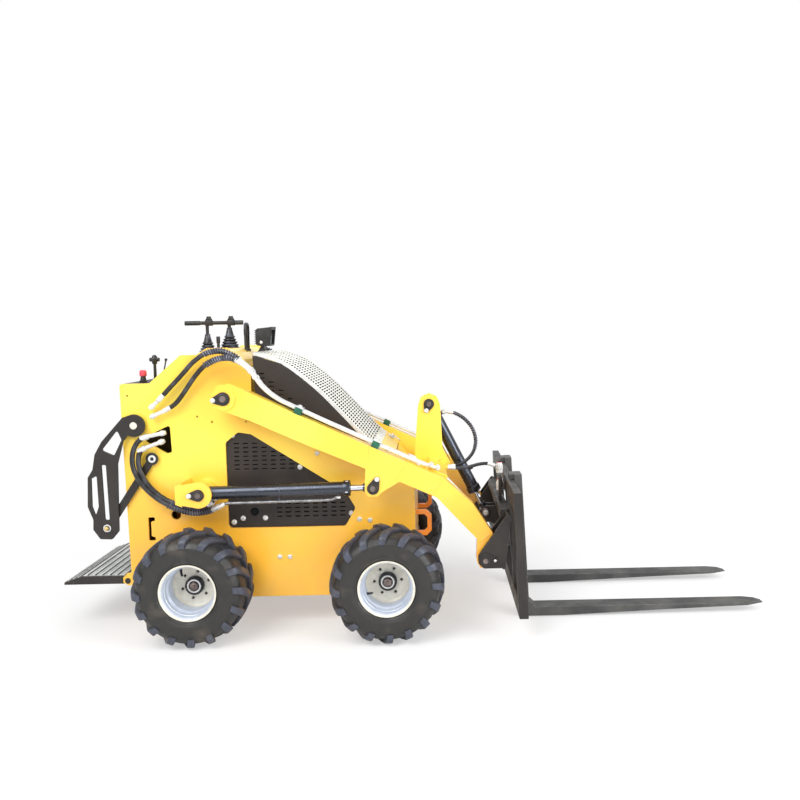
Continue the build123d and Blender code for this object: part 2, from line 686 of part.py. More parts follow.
def guard():
    """Right-hand swing-up side guard, cut from plate."""
    reach = (-GUARD_OUT - 1, -GUARD_IN + 1)
    plate = wall(outline(GUARD_OUTLINE, 10), -GUARD_OUT, -GUARD_IN)
    plate += across(GUARD_PIVOT, GUARD_HEAD_R, -GUARD_OUT, -GUARD_IN)
    for opening, radius in ((GRIP_SLOT, 4), (GUIDE_SLOT, 6), (TOP_SLOT, 7)):
        plate -= wall(outline(opening, radius), *reach)
    plate += across(GUARD_BOLT, 9, -GUARD_OUT - 8, -GUARD_OUT)
    plate -= across(GUARD_PIVOT, 9 + RUN_FIT, *reach)
    return plate


def stay():
    """Right-hand flat stay that steadies the guard."""
    low = -GUARD_IN + 2.5
    bar = wall(outline([(-570, 689), (-544, 677), (-728, 405), (-754, 419)]), low, low + 5)
    bar += across(STAY_PIVOT, 15, low, low + 5)
    bar += across(GUARD_BOLT, 15, low, low + 5)
    return bar - across(STAY_PIVOT, 6 + RUN_FIT, low - 1, low + 7)


# ---- hoses --------------------------------------------------------------------------

HOSE_D = 17.0
# Route points: (x, y, z)
LIFT_HOSES = [
    [(-562, -314, 774), (-584, -314, 768), (-606, -315, 751), (-621, -317, 724), (-627, -320, 689), (-623, -323, 649),
     (-604, -326, 608), (-572, -329, 566), (-530, -332, 530), (-482, -335, 502), (-430, -340, 482),
     (-378, -348, 476), (-328, -358, 484), (-284, -368, 504)],
    [(-575, -314, 729), (-590, -314, 722), (-601, -315, 704), (-605, -317, 676), (-598, -320, 638), (-578, -323, 598),
     (-548, -326, 562), (-508, -329, 530), (-462, -332, 508), (-414, -336, 497), (-368, -344, 499),
     (-332, -355, 509), (-308, -365, 522)],
]
HUMP_HOSES = [
    [(-518, -310, 912), (-476, -311, 956), (-426, -313, 1006), (-376, -318, 1060), (-322, -326, 1096),
     (-262, -340, 1104), (-208, -352, 1084), (-170, -360, 1050)],
    [(-498.5, -310, 870.5), (-452, -311, 896), (-416, -313, 942), (-376, -318, 998), (-328, -332, 1048),
     (-270, -352, 1074), (-212, -372, 1076), (-170, -384, 1052)],
]
HUMP_ENDS = [(-520, 910), (-500, 870)]
HUMP_PORTS = [(-552, 882), (-552, 848)]
LIFT_PORTS = [((-494, 788), (-561, 774.6)), ((-500, 756), (-574, 729.8))]
TILT_HOSE = [
    (603, -5, 819), (640, -17, 814), (678, -32, 792), (712, -44, 752), (726, -54, 702), (716, -62, 654),
    (684, -68, 616), (644, -74, 598), (604, -80, 594),
]
COUPLER_HOSE = [
    (604, -104, 594), (646, -104, 590), (690, -105, 594), (730, -107, 606), (766, -109, 610), (799, -110, 600),
]
COUPLER_AT = (818.0, -110.0)


def fitting(a, b, y, radius):
    """A swaged end fitting with its nut, lying in a side plane."""
    return rod_between(a, b, y, radius) + rod_between(along(a, b, 6), along(a, b, 20), y, radius + 3)


def hose_fittings():
    """Zinc end fittings of the body's hoses, both sides."""
    parts = []
    for start, end in LIFT_PORTS:
        parts.append(fitting(start, end, -314, 8))
    for start, end in zip(HUMP_PORTS, HUMP_ENDS):
        parts.append(fitting(start, end, -310, 8))
    return both_sides(*parts)


def lift_hoses():
    """Right-hand pair of hoses from the body to the lift cylinder."""
    return Compound(children=[hose("lift hose", route, HOSE_D) for route in LIFT_HOSES])


def hump_hoses():
    """Right-hand pair of hoses over the hump to the arm's pipes."""
    return Compound(children=[hose("hump hose", route, HOSE_D) for route in HUMP_HOSES])


def tilt_hose():
    """Hose from the tilt cylinder's port down to the cross tube."""
    return hose("tilt hose", TILT_HOSE, 14)


def coupler_hose():
    """Hose from the cross tube to the tool couplers."""
    return hose("coupler hose", COUPLER_HOSE, 14)


def couplers():
    """Quick couplers on a bracket above the tool plate."""
    bracket = box((812, 824), (-160, -60), (462, 560))
    for z in (520, 592):
        bracket += Pos(COUPLER_AT[0], COUPLER_AT[1], z) * Cylinder(15, 44)
    return bracket


# ---- write every piece ---------------------------------------------------------------

SINGLE = {
    "chassis": chassis,
    "rear_panel": rear_panel,
    "base_pins": base_pins,
    "tow_rings": tow_rings,
    "side_grilles": side_grilles,
    "bonnet": bonnet,
    "engine_block": engine_block,
    "console": console,
    "control_bar": control_bar,
    "control_boots": control_boots,
    "work_lamp": work_lamp,
    "lamp_lens": lamp_lens,
    "console_switches": console_switches,
    "wheel_hubs": wheel_hubs,
    "hose_fittings": hose_fittings,
    "arm_pins": arm_pins,
    "cross_member": cross_member,
    "arm_pipes": arm_pipes,
    "tilt_barrel": tilt_barrel,
    "tilt_rod": tilt_rod,
    "tilt_hose": tilt_hose,
    "coupler_hose": coupler_hose,
    "couplers": couplers,
    "quick_attach": quick_attach,
    "carriage_frame": carriage_frame,
    "platform": platform,
}
HANDED = {
    "side_plate": side_plate,
    "lift_arm": lift_arm,
    "lift_barrel": lift_barrel,
    "lift_rod": lift_rod,
    "lift_hoses": lift_hoses,
    "hump_hoses": hump_hoses,
    "fork": fork,
    "guard": guard,
    "stay": stay,
}


def main():
    """Build each piece and write it under its own name."""
    os.makedirs("parts", exist_ok=True)
    for node, make in SINGLE.items():
        keep(node, make())
    for node, make in HANDED.items():
        shape = make()
        keep(node + "_right", shape)
        keep(node + "_left", other_side(shape))
    for end, x in zip(("rear", "front"), AXLES_X):
        for name, side in (("right", -1), ("left", 1)):
            keep("tyre_" + end + "_" + name, tyre(x, side))
            keep("rim_" + end + "_" + name, rim(x, side))


main()
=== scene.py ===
"""Looks of a stand-on mini skid steer loader with pallet forks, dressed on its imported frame."""

import json
import logging
import math
from dataclasses import dataclass
from enum import Enum

import bmesh
import bpy
from mathutils import Matrix, Vector

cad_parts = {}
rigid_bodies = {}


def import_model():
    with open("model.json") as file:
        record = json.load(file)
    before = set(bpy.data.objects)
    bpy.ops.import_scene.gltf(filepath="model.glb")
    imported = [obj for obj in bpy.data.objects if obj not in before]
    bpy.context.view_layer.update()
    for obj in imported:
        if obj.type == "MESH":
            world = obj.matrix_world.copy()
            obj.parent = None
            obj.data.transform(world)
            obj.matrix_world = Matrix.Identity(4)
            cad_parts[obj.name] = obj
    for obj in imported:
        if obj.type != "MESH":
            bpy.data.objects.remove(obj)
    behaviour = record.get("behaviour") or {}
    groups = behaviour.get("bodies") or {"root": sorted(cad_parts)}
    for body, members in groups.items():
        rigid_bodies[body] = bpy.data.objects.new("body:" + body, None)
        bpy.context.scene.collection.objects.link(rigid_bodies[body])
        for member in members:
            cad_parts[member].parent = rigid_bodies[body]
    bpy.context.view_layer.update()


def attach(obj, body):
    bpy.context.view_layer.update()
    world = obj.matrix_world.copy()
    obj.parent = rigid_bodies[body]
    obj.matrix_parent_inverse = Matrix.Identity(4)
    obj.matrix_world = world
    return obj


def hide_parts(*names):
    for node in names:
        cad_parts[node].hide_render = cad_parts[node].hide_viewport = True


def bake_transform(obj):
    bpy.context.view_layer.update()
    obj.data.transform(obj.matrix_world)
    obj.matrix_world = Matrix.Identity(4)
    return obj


for stray in list(bpy.data.objects):
    bpy.data.objects.remove(stray)
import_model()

log = logging.getLogger("loader")
Colour = tuple[float, float, float]
Triple = tuple[float, float, float]
Pair = tuple[float, float]
Route = list[Vector]

UP = Vector((0, 0, 1))
AHEAD = Vector((1, 0, 0))
BEND_SHARE = 0.45       # where a bend starts, as a share of the shorter run beside it
SINK = 0.0004           # metres that a bolt's head goes into its face

# Places in millimetres, from the body's own middle and the ground
FRAME_ORIGIN_X = 464.0
ARM_PIVOT = (-242.0, 922.0)
LIFT_BASE = (-349.0, 558.0)
LIFT_EYE = (312.0, 569.0)
TILT_BASE = (528.0, 857.0)
TILT_EYE = (763.0, 386.0)
GUARD_PIVOT = (-619.0, 816.0)
GUARD_BOLT = (-741.0, 413.0)
STAY_PIVOT = (-557.0, 683.0)
PLATE_FACE = 285.0      # outer face of the side plates, from the centre line
PANEL_FACE = 275.0      # outer face of the punched panels
WELD_FACE = 286.0       # middle of the beads on the side plates
SHELF_TOP = 978.0       # top of the shelf behind the levers

VALVE_TURN = {"front": 205, "rear": 118}    # degrees round the axle of each wheel's valve


def spot(x: float, y: float, z: float) -> Vector:
    """A point of the machine in the frame.

    Args:
        x: Millimetres forward of the body's own middle.
        y: Millimetres to the left of the centre line.
        z: Millimetres above the ground.

    Returns:
        The same point in metres in the shared frame.
    """
    return Vector(((x - FRAME_ORIGIN_X) / 1000, y / 1000, z / 1000))


class Side(Enum):
    """The two sides of the machine, by the sign of their y."""

    RIGHT = -1
    LEFT = 1

    @property
    def word(self) -> str:
        """The side's name as the bodies spell it."""
        return self.name.lower()

    def spot(self, x: float, out: float, z: float) -> Vector:
        """A point on this side, out millimetres from the centre line."""
        return spot(x, self.value * out, z)

    def at(self, place: Pair, out: float) -> Vector:
        """The point on this side over a place given by its x and z."""
        return spot(place[0], self.value * out, place[1])

    @property
    def outward(self) -> Vector:
        """The direction away from the centre line."""
        return Vector((0, self.value, 0))


class Head(Enum):
    """Bolt heads used on the machine."""

    HEX = "hexagon head on a washer"
    DOME = "domed button head"


# ---- finishes -----------------------------------------------------------------------


def linear(colour: Colour) -> tuple[float, float, float, float]:
    """Turn a colour written as 0 to 255 on a screen into the values a shader takes.

    Args:
        colour: Red, green and blue.

    Returns:
        Linear red, green, blue and an alpha of 1.
    """
    parts = []
    for value in colour:
        share = value / 255
        parts.append(share / 12.92 if share <= 0.04045 else ((share + 0.055) / 1.055) ** 2.4)
    return (parts[0], parts[1], parts[2], 1.0)


class NodeBench:
    """A node tree, with short calls to add nodes and join them."""

    def __init__(self, tree: bpy.types.NodeTree) -> None:
        """Start with the tree cleared."""
        self.tree = tree
        self.tree.nodes.clear()

    def add(self, kind: str, **settings: object) -> bpy.types.Node:
        """Add a node.

        Args:
            kind: The node's type.
            **settings: Its properties, by name.

        Returns:
            The node.
        """
        node = self.tree.nodes.new(kind)
        for key, value in settings.items():
            setattr(node, key, value)
        return node

    def feed(self, socket: bpy.types.NodeSocket, value: object) -> None:
        """Join an output to a socket, or set the socket's own value."""
        if isinstance(value, bpy.types.NodeSocket):
            self.tree.links.new(value, socket)
        else:
            socket.default_value = value

    def blended(self, share: object, one: object, other: object) -> bpy.types.NodeSocket:
        """A blend of two shaders, with so much of the second."""
        node = self.add("ShaderNodeMixShader")
        for socket, value in zip(node.inputs, (share, one, other)):
            self.feed(socket, value)
        return node.outputs[0]


class ShaderBench(NodeBench):
    """A material's nodes: one surface shader and what feeds it."""

    def __init__(self, name: str) -> None:
        """Start a material of that name."""
        self.material = bpy.data.materials.new(name)
        self.material.use_nodes = True
        super().__init__(self.material.node_tree)
        self.output = self.add("ShaderNodeOutputMaterial")
        self.surface = self.add("ShaderNodeBsdfPrincipled")
        self.feed(self.output.inputs["Surface"], self.surface.outputs["BSDF"])
        self.place = self.add("ShaderNodeTexCoord").outputs["Object"]

    def set(self, **values: object) -> None:
        """Set the surface's sockets; an underscore in a name stands for a space."""
        for key, value in values.items():
            self.feed(self.surface.inputs[key.replace("_", " ")], value)

    def stretched(self, scale: Triple) -> bpy.types.NodeSocket:
        """Object coordinates stretched along the axes."""
        node = self.add("ShaderNodeMapping")
        self.feed(node.inputs["Vector"], self.place)
        node.inputs["Scale"].default_value = scale
        return node.outputs["Vector"]

    def noise(self, scale: float, detail: float = 3.0, vector: object = None) -> bpy.types.NodeSocket:
        """Cloudy noise over the piece.

        Args:
            scale: Features a metre.
            detail: Octaves.
            vector: Coordinates other than the plain ones.

        Returns:
            The noise, from 0 to 1.
        """
        node = self.add("ShaderNodeTexNoise")
        self.feed(node.inputs["Vector"], vector or self.place)
        node.inputs["Scale"].default_value = scale
        node.inputs["Detail"].default_value = detail
        return node.outputs[0]

    def cells(self, scale: float) -> bpy.types.NodeSocket:
        """Distance to the nearest of many scattered points."""
        node = self.add("ShaderNodeTexVoronoi")
        self.feed(node.inputs["Vector"], self.place)
        node.inputs["Scale"].default_value = scale
        return node.outputs["Distance"]

    def graded(
        self, value: bpy.types.NodeSocket, low: float, high: float, start: float = 0.0, end: float = 1.0
    ) -> bpy.types.NodeSocket:
        """Map a value from one range to another, held at the ends.

        Args:
            value: What is mapped.
            low: Value that gives start.
            high: Value that gives end.
            start: Result at low.
            end: Result at high.

        Returns:
            The result.
        """
        node = self.add("ShaderNodeMapRange")
        self.feed(node.inputs["Value"], value)
        for key, number in (("From Min", low), ("From Max", high), ("To Min", start), ("To Max", end)):
            node.inputs[key].default_value = number
        return node.outputs["Result"]

    def times(self, one: bpy.types.NodeSocket, other: object) -> bpy.types.NodeSocket:
        """The product of two values."""
        node = self.add("ShaderNodeMath", operation="MULTIPLY")
        self.feed(node.inputs[0], one)
        self.feed(node.inputs[1], other)
        return node.outputs[0]

    def mixed(self, share: object, one: object, other: object) -> bpy.types.NodeSocket:
        """Mix two colours.

        Args:
            share: How much of the second shows.
            one: First colour.
            other: Second colour.

        Returns:
            The mixed colour.
        """
        node = self.add("ShaderNodeMix", data_type="RGBA")
        self.feed(node.inputs[0], share)
        self.feed(node.inputs[6], one)
        self.feed(node.inputs[7], other)
        return node.outputs[2]

    def height(self) -> bpy.types.NodeSocket:
        """Height above the ground in metres."""
        node = self.add("ShaderNodeSeparateXYZ")
        self.feed(node.inputs[0], self.place)
        return node.outputs["Z"]

    def attribute(self, name: str) -> bpy.types.NodeSocket:
        """A number kept on the mesh."""
        return self.add("ShaderNodeAttribute", attribute_name=name).outputs["Fac"]

    def rounded(self, radius: float) -> bpy.types.NodeSocket:
        """The surface's normal with its edges rounded off."""
        node = self.add("ShaderNodeBevel", samples=4)
        node.inputs["Radius"].default_value = radius
        return node.outputs["Normal"]

    def edges(self, radius: float) -> bpy.types.NodeSocket:
        """A mask that is 1 along worn edges and 0 on flats."""
        dot = self.add("ShaderNodeVectorMath", operation="DOT_PRODUCT")
        self.feed(dot.inputs[0], self.rounded(radius))
        self.feed(dot.inputs[1], self.add("ShaderNodeNewGeometry").outputs["Normal"])
        return self.graded(dot.outputs["Value"], 0.985, 0.86)

    def bumped(
        self, value: bpy.types.NodeSocket, strength: float, distance: float, under: object = None
    ) -> None:
        """Raise the surface by a value.

        Args:
            value: The height.
            strength: How much of it shows.
            distance: Depth in metres of a full step.
            under: The normal that the bump lies on.
        """
        node = self.add("ShaderNodeBump")
        self.feed(node.inputs["Height"], value)
        node.inputs["Strength"].default_value = strength
        node.inputs["Distance"].default_value = distance
        if under is not None:
            self.feed(node.inputs["Normal"], under)
        self.set(Normal=node.outputs["Normal"])


@dataclass(frozen=True)
class Finish:
    """A finish, made once and shared by the pieces that wear it."""

    name: str

    def material(self) -> bpy.types.Material:
        """The finish's material, built at its first use."""
        known = bpy.data.materials.get(self.name)
        return known or self.build()

    def build(self) -> bpy.types.Material:
        """Make the material."""
        raise NotImplementedError


@dataclass(frozen=True)
class Paint(Finish):
    """Sprayed enamel: orange peel, faint tone drift, painted shade that deepens the colour low down, dust low
    down and chipped edges.
    """

    # The tone drifts between pale and deep at random; deep is also the painted shade low down.
    pale: Colour = (255, 226, 84)
    deep: Colour = (255, 166, 34)
    chip: Colour = (255, 236, 150)
    dust: Colour = (214, 164, 96)
    roughness: float = 0.36
    coat: float = 0.35
    dusting: float = 0.22
    chipping: float = 0.5

    def build(self) -> bpy.types.Material:
        """Make the material."""
        bench = ShaderBench(self.name)
        drift = bench.noise(2.6, 2)
        tone = bench.mixed(bench.graded(drift, 0.42, 0.78, 0.0, 0.6), linear(self.pale), linear(self.deep))
        # Painted shade: lower down the colour deepens towards the deep tone; the same height mask also
        # gathers dust there.
        low = bench.graded(bench.height(), 0.74, 0.40, 0.0, 1.0)
        tone = bench.mixed(bench.times(low, 0.62), tone, linear(self.deep))
        film = bench.times(low, bench.graded(bench.noise(9, 6), 0.46, 0.74))
        tone = bench.mixed(bench.times(film, self.dusting), tone, linear(self.dust))
        worn = bench.times(bench.edges(0.0026), bench.graded(bench.noise(60, 4), 0.42, 0.62))
        tone = bench.mixed(bench.times(worn, self.chipping), tone, linear(self.chip))
        rough = bench.graded(bench.noise(14, 5), 0.3, 0.7, self.roughness - 0.07, self.roughness + 0.1)
        bench.set(Base_Color=tone, Roughness=rough, Coat_Weight=self.coat, Coat_Roughness=0.12)
        bench.bumped(bench.noise(320, 2), 0.10, 0.0006, bench.rounded(0.0014))
        return bench.material


@dataclass(frozen=True)
class Coating(Finish):
    """Dark powder coat with a fine grain and greyed, rubbed edges."""

    body: Colour = (31, 27, 25)
    rubbed: Colour = (92, 86, 80)
    dust: Colour = (78, 70, 62)
    roughness: float = 0.46
    dusting: float = 0.3
    shine: float = 0.5
    tint: Colour = (255, 255, 255)

    def build(self) -> bpy.types.Material:
        """Make the material."""
        bench = ShaderBench(self.name)
        worn = bench.times(bench.edges(0.003), bench.graded(bench.noise(46, 5), 0.38, 0.66))
        film = bench.graded(bench.noise(7, 7), 0.42, 0.78, 0.0, self.dusting)
        tone = bench.mixed(film, linear(self.body), linear(self.dust))
        tone = bench.mixed(bench.times(worn, 0.8), tone, linear(self.rubbed))
        rough = bench.graded(bench.noise(18, 4), 0.3, 0.7, self.roughness - 0.1, self.roughness + 0.12)
        bench.set(Base_Color=tone, Roughness=rough)
        bench.set(Specular_IOR_Level=self.shine, Specular_Tint=linear(self.tint))
        bench.bumped(bench.noise(900, 2), 0.16, 0.0004, bench.rounded(0.0014))
        return bench.material


@dataclass(frozen=True)
class Plating(Finish):
    """Bare or plated metal: crystal mottling and hairline marks."""

    bright: Colour = (226, 226, 222)
    dull: Colour = (176, 178, 180)
    roughness: float = 0.3
    metal: float = 1.0
    grain: Triple = (1.0, 1.0, 1.0)
    scratch: float = 0.06

    def build(self) -> bpy.types.Material:
        """Make the material."""
        bench = ShaderBench(self.name)
        mottle = bench.noise(34, 5)
        hair = bench.noise(120, 3, bench.stretched(self.grain))
        tone = bench.mixed(bench.graded(mottle, 0.35, 0.68), linear(self.bright), linear(self.dull))
        rough = bench.graded(hair, 0.3, 0.7, self.roughness * 0.7, self.roughness * 1.35)
        bench.set(Base_Color=tone, Roughness=rough, Metallic=self.metal)
        bench.bumped(hair, self.scratch, 0.0003)
        return bench.material


@dataclass(frozen=True)
class TyreRubber(Finish):
    """Tyre compound: matt black flanks, with grey-blue where the mesh says it stands out, partly dry wear and
    partly a painted sheen for the lugs' highlight.
    """

    flank: Colour = (30, 29, 27)
    # Grey-blue on what stands out: partly dry wear, partly a painted sheen.
    worn: Colour = (66, 71, 86)
    soil: Colour = (112, 98, 84)

    def build(self) -> bpy.types.Material:
        """Make the material."""
        bench = ShaderBench(self.name)
        # How far the mesh stands out sets how much grey-blue shows: partly wear, partly a painted sheen.
        stands = bench.attribute("reach")
        patch = bench.graded(bench.graded(bench.noise(24, 6), 0.34, 0.62), 0, 1, 0.45, 1.0)
        tone = bench.mixed(bench.times(stands, patch), linear(self.flank), linear(self.worn))
        earth = bench.times(bench.graded(bench.noise(11, 8), 0.56, 0.8), 0.35)
        tone = bench.mixed(earth, tone, linear(self.soil))
        rough = bench.graded(bench.noise(40, 4), 0.3, 0.7, 0.36, 0.60)
        bench.set(Base_Color=tone, Roughness=rough, Specular_IOR_Level=0.6)
        bench.bumped(bench.noise(420, 4), 0.22, 0.0007)
        return bench.material


@dataclass(frozen=True)
class HoseRubber(Finish):
    """Hose cover with the faint weave of its braid under the skin."""

    body: Colour = (26, 25, 26)
    sheen: Colour = (70, 72, 80)
    roughness: float = 0.36

    def build(self) -> bpy.types.Material:
        """Make the material."""
        bench = ShaderBench(self.name)
        weave = bench.add("ShaderNodeTexWave", bands_direction="DIAGONAL")
        bench.feed(weave.inputs["Vector"], bench.place)
        weave.inputs["Scale"].default_value = 150
        weave.inputs["Distortion"].default_value = 1.5
        patch = bench.graded(bench.noise(30, 5), 0.45, 0.75)
        tone = bench.mixed(patch, linear(self.body), linear(self.sheen))
        rough = bench.graded(bench.noise(60, 3), 0.3, 0.7, self.roughness - 0.08, self.roughness + 0.16)
        bench.set(Base_Color=tone, Roughness=rough, Coat_Weight=0.15, Coat_Roughness=0.3)
        bench.bumped(weave.outputs[1], 0.12, 0.0005)
        return bench.material


@dataclass(frozen=True)
class Plastic(Finish):
    """Moulded plastic with a fine spark texture."""

    body: Colour = (30, 30, 31)
    faded: Colour = (60, 60, 62)
    roughness: float = 0.4

    def build(self) -> bpy.types.Material:
        """Make the material."""
        bench = ShaderBench(self.name)
        patch = bench.graded(bench.noise(26, 6), 0.45, 0.8)
        tone = bench.mixed(patch, linear(self.body), linear(self.faded))
        rough = bench.graded(bench.noise(90, 3), 0.3, 0.7, self.roughness - 0.08, self.roughness + 0.12)
        bench.set(Base_Color=tone, Roughness=rough)
        bench.bumped(bench.cells(700), 0.1, 0.0003)
        return bench.material


@dataclass(frozen=True)
class Lens(Finish):
    """Clear moulded lamp glass."""

    tint: Colour = (240, 246, 250)

    def build(self) -> bpy.types.Material:
        """Make the material."""
        bench = ShaderBench(self.name)
        haze = bench.graded(bench.noise(50, 4), 0.4, 0.8, 0.02, 0.14)
        bench.set(Base_Color=linear(self.tint), Roughness=haze, IOR=1.49, Transmission_Weight=0.85)
        bench.bumped(bench.noise(200, 1), 0.1, 0.0004)
        return bench.material


BODY_YELLOW = Paint("body_yellow")
RING_ORANGE = Paint("ring_orange", pale=(255, 160, 52), deep=(250, 136, 40), chip=(255, 200, 120))
BLACK_COAT = Coating("black_coat")
GRILLE_COAT = Coating(
    "grille_coat", body=(38, 30, 26), rubbed=(100, 90, 82), dust=(74, 64, 56), roughness=0.5
)
PIPE_STEEL = Plating(
    "barrel_pipe_steel", bright=(150, 150, 152), dull=(112, 112, 114), roughness=0.3, metal=0.6
)
BARREL_GLOSS = Coating(
    "barrel_gloss", body=(26, 26, 27), rubbed=(90, 92, 96), roughness=0.26, dusting=0.06, shine=1.0,
    tint=(222, 232, 255),
)
ZINC = Plating(
    "bright_zinc", bright=(228, 228, 225), dull=(208, 209, 209), roughness=0.34, metal=0.35,
    scratch=0.012,
)
DARK_STEEL = Plating("pin_steel", bright=(146, 132, 128), dull=(96, 88, 86), roughness=0.4)
BRASS = Plating("yellow_zinc", bright=(232, 206, 150), dull=(190, 160, 100), roughness=0.34)
CHROME = Plating(
    "rod_chrome", bright=(232, 234, 238), dull=(214, 217, 222), roughness=0.1, grain=(0.2, 1, 1)
)
RIM_PAINT = Plating(
    "rim_silver_paint", bright=(228, 224, 210), dull=(208, 204, 190), roughness=0.36, metal=0.1
)
RIM_BARREL = Plating(
    "rim_bright_barrel", bright=(202, 209, 221), dull=(188, 196, 210), roughness=0.4, metal=0.3,
    scratch=0.004,
)
SHEET_STEEL = Plating(
    "bonnet_sheet", bright=(246, 246, 238), dull=(226, 228, 220), roughness=0.34, metal=0.15
)
TREAD_ALLOY = Plating(
    "tread_alloy", bright=(226, 228, 226), dull=(196, 198, 198), roughness=0.4, metal=0.3
)
BLADE_STEEL = Coating(
    "blade_steel", body=(52, 52, 52), rubbed=(150, 150, 148), dust=(120, 118, 114), dusting=0.5
)
TYRE = TyreRubber("tyre_compound")
HOSE = HoseRubber("hose_cover")
BOOT = HoseRubber("boot_rubber", body=(32, 33, 38), sheen=(92, 100, 122), roughness=0.34)
SPIRAL = Plastic("spiral_wrap", body=(70, 72, 84), faded=(150, 154, 172), roughness=0.3)
BLACK_PLASTIC = Plastic("black_plastic")
# Near-black sheet standing in as painted shade behind the punched panels.
SHADE_SHEET_BLACK = Plastic("baffle_felt", body=(9, 8, 8), faded=(16, 15, 14), roughness=0.9)
GREEN_PLASTIC = Plastic("clamp_green", body=(20, 84, 62), faded=(40, 110, 84))
RED_PLASTIC = Plastic("stop_red", body=(226, 62, 80), faded=(240, 110, 120))
ENGINE_CAST = Coating("engine_cast", body=(34, 33, 32), rubbed=(80, 78, 74), roughness=0.62)
LAMP_LENS = Lens("lamp_glass")

SLOT_FINISH: dict[str, Finish] = {
    "yellow_paint": BODY_YELLOW,
    "orange_paint": RING_ORANGE,
    "black_paint": BLACK_COAT,
    "dark_grille": GRILLE_COAT,
    "mesh_steel": SHEET_STEEL,
    "rim_silver": RIM_PAINT,
    "tyre_rubber": TYRE,
    "soft_rubber": HOSE,
    "chrome": CHROME,
    "zinc": ZINC,
    "cast_engine": ENGINE_CAST,
    "moulded_black": BLACK_PLASTIC,
    "barrel_black": BARREL_GLOSS,
    "lens_glass": LAMP_LENS,
}


# ---- shop operations ------------------------------------------------------------------


def smooth_route(points: Route, steps: int = 8) -> Route:
    """The line that a hose, a pipe or a bent sheet takes past its route's points.

    Args:
        points: The route's points.
        steps: Steps round each corner.

    Returns:
        Points along straight runs that are joined by bends.
    """
    route = [points[0]]
    for before, corner, after in zip(points, points[1:], points[2:]):
        reach = BEND_SHARE * min((corner - before).length, (after - corner).length)
        start = corner + (before - corner).normalized() * reach
        end = corner + (after - corner).normalized() * reach
        for n in range(steps + 1):
            share = n / steps
            route.append(start.lerp(corner, share).lerp(corner.lerp(end, share), share))
    return route + [points[-1]]


def run_lengths(route: Route) -> list[float]:
    """Distance along a route at each of its points."""
    lengths = [0.0]
    for one, other in zip(route, route[1:]):
        lengths.append(lengths[-1] + (other - one).length)
    return lengths


def even_route(route: Route, step: float) -> Route:
    """The same line with its points a fixed step apart.

    Args:
        route: Points along the line.
        step: Distance wanted between points, in metres.

    Returns:
        Evenly spaced points, both ends kept.
    """
    lengths = run_lengths(route)
    count = max(2, round(lengths[-1] / step))
    even = []
    at = 0
    for n in range(count + 1):
        want = lengths[-1] * n / count
        while at < len(route) - 2 and lengths[at + 1] < want:
            at += 1
        share = (want - lengths[at]) / max(lengths[at + 1] - lengths[at], 1e-9)
        even.append(route[at].lerp(route[at + 1], min(share, 1.0)))
    return even


def frames_along(route: Route) -> list[Matrix]:
    """Frames on a route's points, z along it, with no twist from one to the next."""
    tangent = (route[1] - route[0]).normalized()
    normal = tangent.orthogonal().normalized()
    frames = []
    last = len(route) - 1
    for n, point in enumerate(route):
        ahead = (route[min(n + 1, last)] - route[max(n - 1, 0)]).normalized()
        normal = (tangent.rotation_difference(ahead) @ normal).normalized()
        tangent = ahead
        turned = Matrix((normal, tangent.cross(normal), tangent)).transposed()
        frames.append(Matrix.Translation(point) @ turned.to_4x4())
    return frames


def facing(axis: Vector, centre: Vector) -> Matrix:
    """A frame at centre with its z along axis."""
    return Matrix.Translation(centre) @ axis.to_track_quat("Z", "Y").to_matrix().to_4x4()


def whole(part: bmesh.types.BMesh) -> list[object]:
    """All of a part: its corners, edges and faces."""
    return part.verts[:] + part.edges[:] + part.faces[:]


def corners_of(geom: list[object]) -> list[bmesh.types.BMVert]:
    """The corners among the things that an operation made."""
    return [item for item in geom if isinstance(item, bmesh.types.BMVert)]


def bevelled(part: bmesh.types.BMesh, edges: list[bmesh.types.BMEdge], width: float) -> None:
    """Round a part's edges off in two steps."""
    bmesh.ops.bevel(part, geom=edges, offset=width, segments=2, profile=0.5, affect="EDGES", material=-1)


def pushed(part: bmesh.types.BMesh, depth: Vector) -> list[bmesh.types.BMVert]:
    """Thicken a sheet: copy its faces, push the copies away and wall them in.

    Args:
        part: The sheet.
        depth: How far and which way the copies go.

    Returns:
        The copies' corners.
    """
    moved = corners_of(bmesh.ops.extrude_face_region(part, geom=part.faces[:])["geom"])
    bmesh.ops.translate(part, vec=depth, verts=moved)
    return moved


